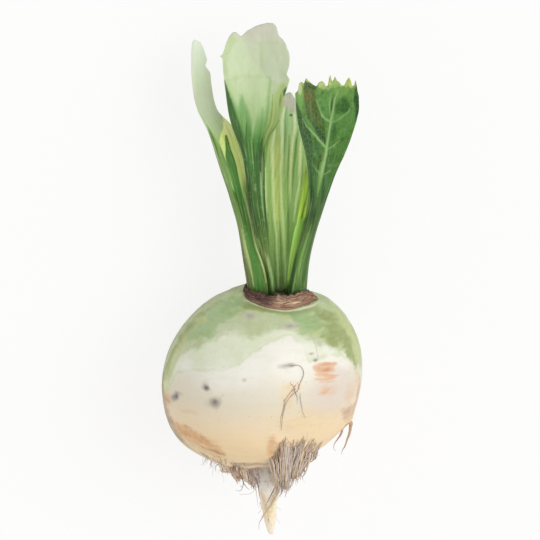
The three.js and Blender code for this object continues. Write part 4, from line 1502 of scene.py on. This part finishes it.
ring_points, ring_faces = even_net("crown_collar", RING_NET, relax=2)
ring_x, ring_z = RING_OUTSIDE["centre"]
ring_turn = np.arctan2(ring_points[:, 2] - ring_z, ring_points[:, 0] - ring_x)
ring_right, ring_front = np.cos(ring_turn), np.sin(ring_turn)
from_inside = np.maximum(off_ellipse(ring_points, RING_INSIDE) - 1, 0)
from_outside = np.maximum(1 - off_ellipse(ring_points, RING_OUTSIDE), 0)
ring_out = from_inside / (from_inside + from_outside + 1e-6)
print("Ring net:", len(ring_points), "points")

# %% Ridges, a torn edge and the crown's slope
ridges = clouds(np.c_[4 * ring_right, 4 * ring_front, 11 * ring_out], 1.0, 91, octaves=3)
swell = 0.42 * ridges + 0.25 * clouds(ring_points, 3, 92)
ring_body = ring_points + normals_of(ring_points, ring_faces) * swell[:, None]
torn = clouds(np.c_[9 * ring_right, 9 * ring_front, 0 * ring_turn], 0.8, 93, octaves=3)
low_right = ease(ring_right, 0.1, 0.8) * (1 - 0.6 * ease(ring_front, -0.2, 0.6))
lowered = 0.38 - 0.26 * np.maximum(ring_front, 0) + 0.26 * low_right
ring_body[:, 1] -= above_crown(*ring_body.T) * lowered + RING_DROP
ring_body[:, 1] += 0.8 * ease(ring_points[:, 1], 40.5, 42.5) * torn
ring_body[:, 1] -= settled(ring_body)
print("Ridges up to", round(float(ridges.max()), 2))

# %% Loose fibres round the ring
RING_FIBRES = 170
CREAM_FIBRES = "2.6 1.95 .8, 2.5 1.9 .86, 2.55 2 .92, 1.35 .95 .72, 1.3 1 .66"

ring_tree = BVHTree.FromPolygons(ring_body.tolist(), ring_faces)
fibre_chance = np.random.default_rng(23)
ring_fibres = Bundle()


def on_ring(turn, out, lift):
    """A point over the ring's body, at an angle and a share of the way to its outside."""
    place = np.zeros(2)
    for ellipse, share in ((RING_INSIDE, 1 - out), (RING_OUTSIDE, out)):
        way = np.array([math.cos(turn), math.sin(turn)]) * ellipse["radii"]
        place += (ellipse["centre"] + way) * share
    x, z = place
    hit = ring_tree.ray_cast(Vector((x, CROWN_Y + 20, z)), Vector((0, -1, 0)))[0]
    return np.array([x, hit.y + lift if hit else np.nan, z])


for _ in range(RING_FIBRES):
    start = fibre_chance.uniform(-math.pi, math.pi)
    length = fibre_chance.uniform(0.25, 0.9) * fibre_chance.choice([-1, 1])
    out_start = fibre_chance.uniform(0.05, 0.9)
    out_end = np.clip(out_start + fibre_chance.uniform(-0.12, 0.14), 0.03, 1.0)
    thick = fibre_chance.uniform(0.1, 0.24)
    right_end = max(math.cos(start + length), 0)
    fray = fibre_chance.uniform(0, 0.45) * (1 + 2 * right_end**3)
    path = [
        on_ring(start + length * t, out_start + (out_end - out_start) * t, 0.05 + fray * t**4)
        for t in evenly(9)
    ]
    shade = fibre_chance.uniform()
    if np.isfinite(path).all():
        ring_fibres.add(along_path(path, 14), [thick, thick * 0.9, 0.07], shade)
for start, end, out in read_rows(CREAM_FIBRES):
    path = [on_ring(start + (end - start) * t, out + 0.06 * t, 0.22) for t in evenly(7)]
    ring_fibres.add(along_path(path, 14), [0.08, 0.26, 0.07], 1.0)
print("Ring fibres:", len(ring_fibres.points))

# %% The ring's finish
f = Finish("dry_ring")
turn_cos, turn_sin = f.measured("ring_right"), f.measured("ring_front")
turn_out = f.measured("ring_out")
round_ring = {"X": turn_cos * 1.4, "Y": turn_out * 8, "Z": turn_sin * 1.4}
wrapped = f.node("CombineXYZ", inputs=round_ring)
layer = f.noise(1, detail=4, roughness=0.62, place=wrapped, seed=5)
wide_layer = f.noise(2.4, detail=2, place=wrapped, seed=7)
fleck = f.noise(2.2, seed=6)
out = turn_out + wide_layer * 0.3
RING_TONES = "-.3 92 60 54, -.12 132 96 82, 0 168 134 110, .14 190 158 130, .3 216 186 158"
f.colour = f.ramp(layer + wide_layer * 0.6, RING_TONES)
above = above_crown(f.x, f.y, f.z) + layer * 2
maroon = f.step(-f.x + wide_layer * 6, -8, -2) * f.step(above, 0, 0.8)
f.lay(maroon * 0.9, (66, 34, 36))
left_side = f.step(wide_layer * 0.5 - turn_cos, 0.1, 0.5)
f.lay(left_side * f.step(layer, 0.02, 0.14) * f.step(out, 0.35, 0.6) * 0.8, (226, 190, 156))
red_streak = f.step(fleck * 0.3 - layer, 0.1, 0.2) * f.step(turn_sin, 0.5, 0.9)
f.lay(red_streak * (1 - f.step(out, 0.5, 0.8)) * 0.8, (176, 84, 62))
f.lay(f.step(turn_cos + wide_layer, 0.3, 0.9) * 0.55, (112, 76, 62))
f.lay((1 - f.step(turn_out + layer * 0.3, 0.02, 0.2)) * 0.7, (58, 44, 36))
f.lay(f.step(turn_out + layer * 0.2, 0.86, 1.0) * 0.5, (104, 82, 62))
ring_material = f.close(fleck * 0.2 + 0.72, layer * 0.7 + fleck * 0.2)
marks = {"ring_right": ring_right, "ring_front": ring_front, "ring_out": ring_out}
nodes = ["crown_collar"]
add_piece("dry_crown_ring", ring_body, ring_faces, ring_material, nodes, marks)

# %% The fibres' finish
f = Finish("dry_fibre")
FIBRE_TONES = """0 92 62 54, .25 124 88 74, .45 168 108 84, .6 164 132 106, .8 196 164 136,
    1 234 208 172"""
f.colour = f.ramp(f.measured("tone"), FIBRE_TONES)
fleck = f.noise(1.2, seed=8)
above = above_crown(f.x, f.y, f.z) + fleck * 2
f.lay(f.step(-f.x, -8, -2) * f.step(above, 0, 0.9) * 0.85, (74, 34, 36))
inside_x, inside_z = RING_INSIDE["centre"]
ends = {0: f.place, 1: (inside_x, 40, inside_z)}
inner = f.node("VectorMath", {"operation": "DISTANCE"}, ends, "Value")
f.lay(1 - f.step(inner, 11.5, 16), (62, 42, 38))
fibre_material = f.close(fleck * 0.2 + 0.7, fleck * 0.2)
ring_fibres.piece("dry_crown_fibres", fibre_material, "collar")

# %% [markdown]
# ## Rootlets
#
# The rootlets hang from two furrows low on the root like a curtain: a few thick ones, which are
# CAD strands, and many finer ones between them. Each fine one follows the line between two
# neighbouring CAD strands and leans towards the clump it belongs to, as wet roots cling together
# and end in a point. Every strand is planted in the skin, so that no gap shows where it starts.

# %% Planting and bending strands
PATH_STEPS = 18
FAR_SIDE = 6  # a point buried deeper than this, in mm, is nearer the root's other side
WAVES = ((1.3, 1.0), (3.1, 0.35), (6.3, 0.14))  # bends along a strand, and their sizes
skin_tree = BVHTree.FromPolygons(skin.tolist(), skin_faces)


def nearest_skin(point):
    """The nearest place on the finished skin, and the direction out of it."""
    place, outward, _, _ = skin_tree.find_nearest(Vector(point))
    return np.array(place), np.array(outward)


def planted(path, deep=0.5):
    """The path with a start a little under the skin."""
    place, outward = nearest_skin(path[0])
    return np.vstack([place - outward * deep, path])


def kept_out(path, gap=0.15):
    """The path with every point that is under the skin lifted out of it."""
    lifted = []
    for point in path:
        place, outward = nearest_skin(point)
        buried = gap - float((point - place) @ outward)
        lifted.append(point + outward * max(buried, 0) if buried < FAR_SIDE else point)
    return np.array(lifted)


def laid_down(path, lift):
    """The path with every point set down on the skin, and its start under it."""
    pairs = [nearest_skin(point) for point in path]
    set_down = [place + outward * lift for place, outward in pairs]
    return np.vstack([pairs[0][0] - pairs[0][1] * 0.3, *set_down])


def wavy(path, amount, chance):
    """The path with small bends that grow towards its tip."""
    share = evenly(len(path))
    waves = np.zeros_like(path)
    for axis in range(3):
        for rate, part in WAVES:
            phase = chance.uniform(0, 2 * math.pi)
            waves[:, axis] += part * (np.sin(2 * math.pi * rate * share + phase) - math.sin(phase))
    return path + waves * (amount * share**0.8)[:, None]


def part_of(path, start, end, count=PATH_STEPS):
    """The stretch of a path between two shares of its length."""
    at = np.linspace(start, end, count) * (len(path) - 1)
    return np.stack([np.interp(at, range(len(path)), path[:, axis]) for axis in range(3)], axis=1)


print("A test strand starts", np.round(planted(strand_lines["tap_root_hair"][0])[0], 1))

# %% Clumps of rootlets
# Each clump: place across the curtain from 0 to 1, length, tone, shift of the tip in x and y
CURTAINS = {
    "rootlet_right_upper": """.04 .9 .68 .5 0, .13 1 .12 0 0, .22 .95 .38 .5 -.5, .31 .82 .86 0 0,
        .4 .95 .28 0 -.5, .5 1 .52 -.6 0, .6 .9 .42 0 0, .7 .95 .66 .5 0, .8 .88 .36 0 0,
        .9 .96 .3 .4 0, .98 .85 .8 .8 .4""",
    "rootlet_right_lower": """.05 1 .9 0 0, .2 .9 .3 .5 0, .35 1 .72 0 -.6, .5 .9 .34 0 0,
        .68 1 .86 .5 0, .84 .92 .4 0 0, .97 1 .75 0 0""",
    "rootlet_left": """.02 .8 .8 1 0, .16 .95 .92 1.4 -.6, .3 1 .7 1.2 0, .45 .95 .5 .8 -.6,
        .58 1 .6 .6 0, .72 1 .9 .5 0, .86 1 .4 .2 0, .97 1 .28 0 0""",
}
print("Clumps:", {name: len(read_rows(clumps)) for name, clumps in CURTAINS.items()})

# %% Paths across a curtain


def named(prefix):
    """The CAD strands whose names start this way."""
    return [name for name in STRANDS if name.startswith(prefix)]


def between_lines(lines, place):
    """The path at a place across the curtain, 0 at its first line and 1 at its last."""
    across = place * (len(lines) - 1)
    first = min(int(across), len(lines) - 2)
    return lines[first] + (across - first) * (lines[first + 1] - lines[first])


print("Rootlets in the CAD model:", len(named("rootlet")))

# %% Curtains of rootlets
CLUMP_WIDTH = 0.055  # as a share of the curtain's width
CLING = 0.8  # how strongly a strand leans towards the tip of its clump
SWAY = 0.42  # how far it strays, in mm
CREEPING = 0.12  # strands that start this high up first creep along the skin
BOW = 3.2  # how far the upper right curtain bows to the left, in mm
LATE = 0.36  # the share of their length that its first strands leave out


def hang_curtain(bundle, prefix, count, thick, chance):
    """Adds the CAD strands by this name, and finer ones that cling together in clumps."""
    lines = [along_path(strand_lines[name][0], PATH_STEPS) for name in named(prefix)]
    share = evenly(PATH_STEPS)[:, None]
    right = prefix == "rootlet_right_upper"
    for index, (line, name) in enumerate(zip(lines, named(prefix))):
        radii = strand_lines[name][1]
        late = 0.3 if right and index == 0 else 0
        path = wavy(along_path(planted(part_of(line, late, 1)), PATH_STEPS), 0.25, chance)
        bundle.add(path, [radii[0] * 0.6, radii[-1] * 0.6], chance.uniform(0.4, 0.9))
    clumps = read_rows(CURTAINS[prefix])
    for _ in range(count):
        centre, length, tone, *shift = clumps[chance.integers(len(clumps))]
        place = float(np.clip(centre + chance.normal(0, CLUMP_WIDTH), 0, 1))
        pull = ease(share, 0.1, 1.0) * CLING
        tip = between_lines(lines, centre) + np.array([*shift, 0]) * share
        path = between_lines(lines, place) * (1 - pull) + tip * pull
        path = path + chance.normal(0, SWAY, 3) * (0.5 + share) + (0, 0, chance.uniform(-0.3, 0.7))
        if right:
            path = path - (BOW * place**2, 0, 0) * np.sin(math.pi * share)
        late = max(LATE * (1 - place / 0.2), 0) if right else 0
        start = late + chance.uniform(0, 1) ** 2 * 0.5
        path = part_of(path, start, length * chance.uniform(0.72, 1.0))
        if start < late + CREEPING:
            rise = chance.uniform(0.5, 3) + (8 * place * chance.uniform(0, 1) if right else 0)
            ahead = path[0] + (0.12 * rise, rise, 0)
            up_the_skin = laid_down(ahead + (path[0] - ahead) * evenly(5)[:, None], 0.1)
            path = along_path(np.vstack([up_the_skin, path[1:]]), PATH_STEPS)
        path = kept_out(path)
        radius = thick * chance.uniform(0.35, 1)
        shown = tone + chance.normal(0, 0.13)
        path = wavy(along_path(planted(path), PATH_STEPS), 0.4, chance)
        bundle.add(path, [0.04, radius, radius, radius * 0.8, 0.05], shown)


root_chance = np.random.default_rng(37)
right_tuft, left_tuft = Bundle(), Bundle()
hang_curtain(right_tuft, "rootlet_right_upper", 330, 0.3, root_chance)
hang_curtain(right_tuft, "rootlet_right_lower", 150, 0.28, root_chance)
hang_curtain(left_tuft, "rootlet_left", 230, 0.28, root_chance)
print("Curtains:", len(right_tuft.points), "and", len(left_tuft.points))

# %% [markdown]
# ## Hairs along the skin
#
# Dark little hairs lie flat on the skin above each curtain, and a few long wisps leave the
# clumps. They are short paths whose points are set down on the finished skin.

# %% Hairs that lie on the skin
# From angle and y, to angle and y, hairs, shortest and longest, drift in x
FRINGES = """15 -19 34 -20.5 60 2.5 9 -.25, 34 -20.5 44 -23 24 2 7 -.3,
    -32 -31 -4 -34 40 1.5 4.5 .25, -46 -28.5 -30 -32 16 1.5 4 .3"""
OUTSIDE = 60  # well clear of the root, in mm


def onto_skin(angle, y):
    """The place on the skin at an angle round the root, in degrees, and a y."""
    outward = Vector((math.sin(math.radians(angle)), 0, math.cos(math.radians(angle))))
    clear = Vector((middle_x(y), y, 0)) + OUTSIDE * outward
    return np.array(skin_tree.ray_cast(clear, -outward)[0])


for *ends, count, shortest, longest, drift_x in read_rows(FRINGES):
    bundle = right_tuft if ends[0] > 0 else left_tuft
    for _ in range(int(count)):
        share = root_chance.uniform()
        angle_at = ends[0] + share * (ends[2] - ends[0])
        y_at = ends[1] + share * (ends[3] - ends[1]) + root_chance.normal(0, 1.4)
        start = onto_skin(angle_at, y_at)
        length = root_chance.uniform(shortest, longest)
        heading = np.array([drift_x + root_chance.normal(0, 0.14), -1, -0.25])
        path = start + heading * np.linspace(0, length, 9)[:, None]
        radius = root_chance.uniform(0.05, 0.13)
        shown = root_chance.choice([0.0, 0.15, 0.35, 0.55], p=[0.25, 0.3, 0.25, 0.2])
        path = wavy(along_path(laid_down(path, 0.12), 12), 0.2, root_chance)
        bundle.add(path, [0.05, radius, 0.05], shown + root_chance.normal(0, 0.05))
print("With fringes:", len(right_tuft.points), "and", len(left_tuft.points))

# %% Wisps that leave the clumps
# Points from the curtain to the tip, then thickness and tone
WISPS = """
    -10 -44 12, -8.6 -51 8, -10 -54 6, -12.4 -54.8 4 : .2 .05
    -9 -46 11, -7.4 -51.5 7, -5.4 -54.2 5 : .2 .02
    -8.2 -50 8, -9.8 -52 6.4, -10.4 -51.6 6 : .12 .1
    -20 -35 24, -21 -38.5 20, -20.6 -41 17 : .18 .2
    -24.5 -30 26, -25.6 -33.5 23, -25 -36 20 : .15 .15
    7 -45 10, 5.5 -52 9, 3.2 -57 8.2, 1.2 -60.5 7.6 : .32 -.05
    14.5 -45 12, 13 -50.5 9, 11.4 -54 7 : .24 .6
    11.5 -42 13, 10.6 -49 10.5, 8.6 -54 9, 6.8 -57.6 8.4 : .3 .02
    10.2 -43 12.5, 9.8 -51 10, 8.2 -56 8.6 : .24 .3
    16 -42 14, 13.8 -48.5 11, 12.6 -53 9 : .26 .55
    12.6 -44 12.5, 11.6 -50 10, 11.9 -53.5 8.6 : .2 .1
    8.5 -43 12, 7.8 -52 9.6, 5.4 -57.4 8.6, 4.6 -59.4 8 : .3 .45
    -6.5 -40 15.5, -3.4 -46 10, -1.8 -52 6.4, -1.2 -59 4 : .5 0
    -5.5 -41 15, -2.8 -47 9.6, -1.4 -54 5.6 : .42 -.1
    -7 -42 13, -4.2 -48 9, -2.6 -56 5, -1.8 -62 3.6 : .32 .75
    -4.8 -41 15, -2.2 -45 11.6, -.8 -50 8 : .4 .2"""
for wisp in WISPS.strip().splitlines():
    points, [(radius, shown)] = (read_rows(part) for part in wisp.split(":"))
    path = wavy(along_path(points, 22), 0.22, root_chance)
    bundle = right_tuft if points[0][0] > 0 else left_tuft
    bundle.add(path, [radius, radius * 0.8, 0.06], shown)
print("With wisps:", len(right_tuft.points), "and", len(left_tuft.points))

# %% Side roots and the branches of the tap root
SIDE_ROOTS = {  # shares of the CAD thickness, how far it is laid onto the skin, and its tone
    "side_root_top": ((0.3, 0.3), 0.6, 0.06),
    "side_root_top_fork": ((0.3, 0.3), 0.5, 0.1),
    "side_root_right": ((0.9, 0.72, 0.66, 0.6, 0.3), 0.9, 0.6),
    "side_root_right_fork": ((0.3, 0.75, 0.9, 0.6, 0.25), 0.3, 0.56),
    "tap_root_branch": ((1.1, 1.2, 0.95, 0.5, 0.3), 0.1, 0.7),
    "tap_root_hair": ((0.35, 0.3), 0.1, 0.85),
}
side_roots = Bundle()
for name, (shares, laid, shown) in SIDE_ROOTS.items():
    middles, radii = strand_lines[name]
    if name == "side_root_right_fork":  # it creeps along the skin before it hangs free
        start = strand_lines["side_root_right"][0][0]
        creep = laid_down(start + (middles[0] - start) * evenly(6)[:, None], 0.3)
        middles = part_of(along_path(np.vstack([creep, middles[1:]]), 30), 0, 0.9)
    path = along_path(planted(middles), 34)
    inward = np.c_[middle_x(path[:, 1]) - path[:, 0], 0 * path[:, 1], -path[:, 2]]
    path = wavy(path + unit(inward) * laid, 0.3, root_chance)
    side_roots.add(path, radii * spread(shares, len(radii)), shown)
print("Side roots:", len(side_roots.points))

# %% Twigs on the skin
# Angle and y at each end, thickness, tone
TWIGS = """17.5 7 12 1 .2 .55, 12.4 2 11.4 -11 .13 .1, 13.4 3 12.6 -6 .12 .2, 17 7.5 20.5 0 .22 .1,
    16.5 7.6 14.6 9.4 .16 .55, 19 9 21 5.6 .12 .5, 18.4 8 16 5 .14 .1, 33.2 26 33.8 17.6 .12 .35,
    18.4 6.4 15.6 2.6 .12 .6"""
for *ends, radius, shown in read_rows(TWIGS):
    start, end = np.array(ends).reshape(2, 2)
    places = [onto_skin(*(start + (end - start) * share)) for share in evenly(7)]
    bent = wavy(along_path(places, 12), 0.35, root_chance)
    side_roots.add(laid_down(bent, 0.05), [radius, radius, 0.05], shown)
print("With twigs:", len(side_roots.points))

# %% Fine hairs all round the foot of the root
# Lowest and highest y, from angle, to angle, hairs, shortest and longest
HAIR_ZONES = """-43 -37.5 -180 -60 50 3 8, -43 -37.5 60 180 60 3 8, -43 -38 -60 60 24 2 5,
    -76 -46 -180 180 22 1.5 4, -40 -33 -70 -20 18 1.5 4, -38 -28 30 60 14 1.5 4"""
hair_chance = np.random.default_rng(53)
hairs = Bundle()
for lowest, highest, from_angle, to_angle, count, shortest, longest in read_rows(HAIR_ZONES):
    zone = (skin_y > lowest) & (skin_y < highest) & (around > from_angle) & (around < to_angle)
    for index in hair_chance.choice(np.flatnonzero(zone), int(count), replace=False):
        start, outward = skin[index], skin_normals[index]
        length = hair_chance.uniform(shortest, longest)
        way = hair_chance.normal(0, 0.35, 3) + (0, -1, -0.35)
        share = evenly(12)[:, None]
        path = start - outward * 0.4 + length * (outward * share * 0.4 + way * share**1.5)
        thick = hair_chance.uniform(0.08, 0.18)
        hairs.add(wavy(path, 0.5, hair_chance), [thick, thick * 0.7, 0.04], hair_chance.uniform())
print("Hairs:", len(hairs.points))

# %% The rootlets' finish
f = Finish("rootlet")
dirt = f.noise(2.5, seed=12)
ROOTLET_TONES = """-.15 104 92 82, 0 138 127 116, .2 192 178 168, .42 220 208 198, .55 190 150 120,
    .68 214 188 158, .85 230 210 184, 1 244 230 206"""
f.colour = f.ramp(f.measured("tone") + dirt * 0.3, ROOTLET_TONES)
f.lay(f.step(f.measured("down"), 0.7, 1) * 0.35, (164, 142, 120))
rootlet_material = f.close(dirt * 0.2 + 0.66, dirt * 0.25)
right_tuft.piece("right_rootlet_tuft", rootlet_material, "rootlet", named("rootlet_right"))
left_tuft.piece("left_rootlet_tuft", rootlet_material, "rootlet", named("rootlet_left"))
side_roots.piece("side_roots", rootlet_material, "rootlet", list(SIDE_ROOTS))
hairs.piece("fine_root_hairs", rootlet_material, "rootlet")

# %% [markdown]
# ## Last checks
#
# The visible beet must stay the size of the CAD model, so both boxes are written down.

# %% Sizes and finish
visual_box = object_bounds()
for axis, name in enumerate("xyz"):
    grown = [round((visual_box[end][axis] - cad_box[end][axis]) / MM, 2) for end in (0, 1)]
    print(f"Along {name} the visible beet ends {grown[0]} and {grown[1]} mm from the CAD box")
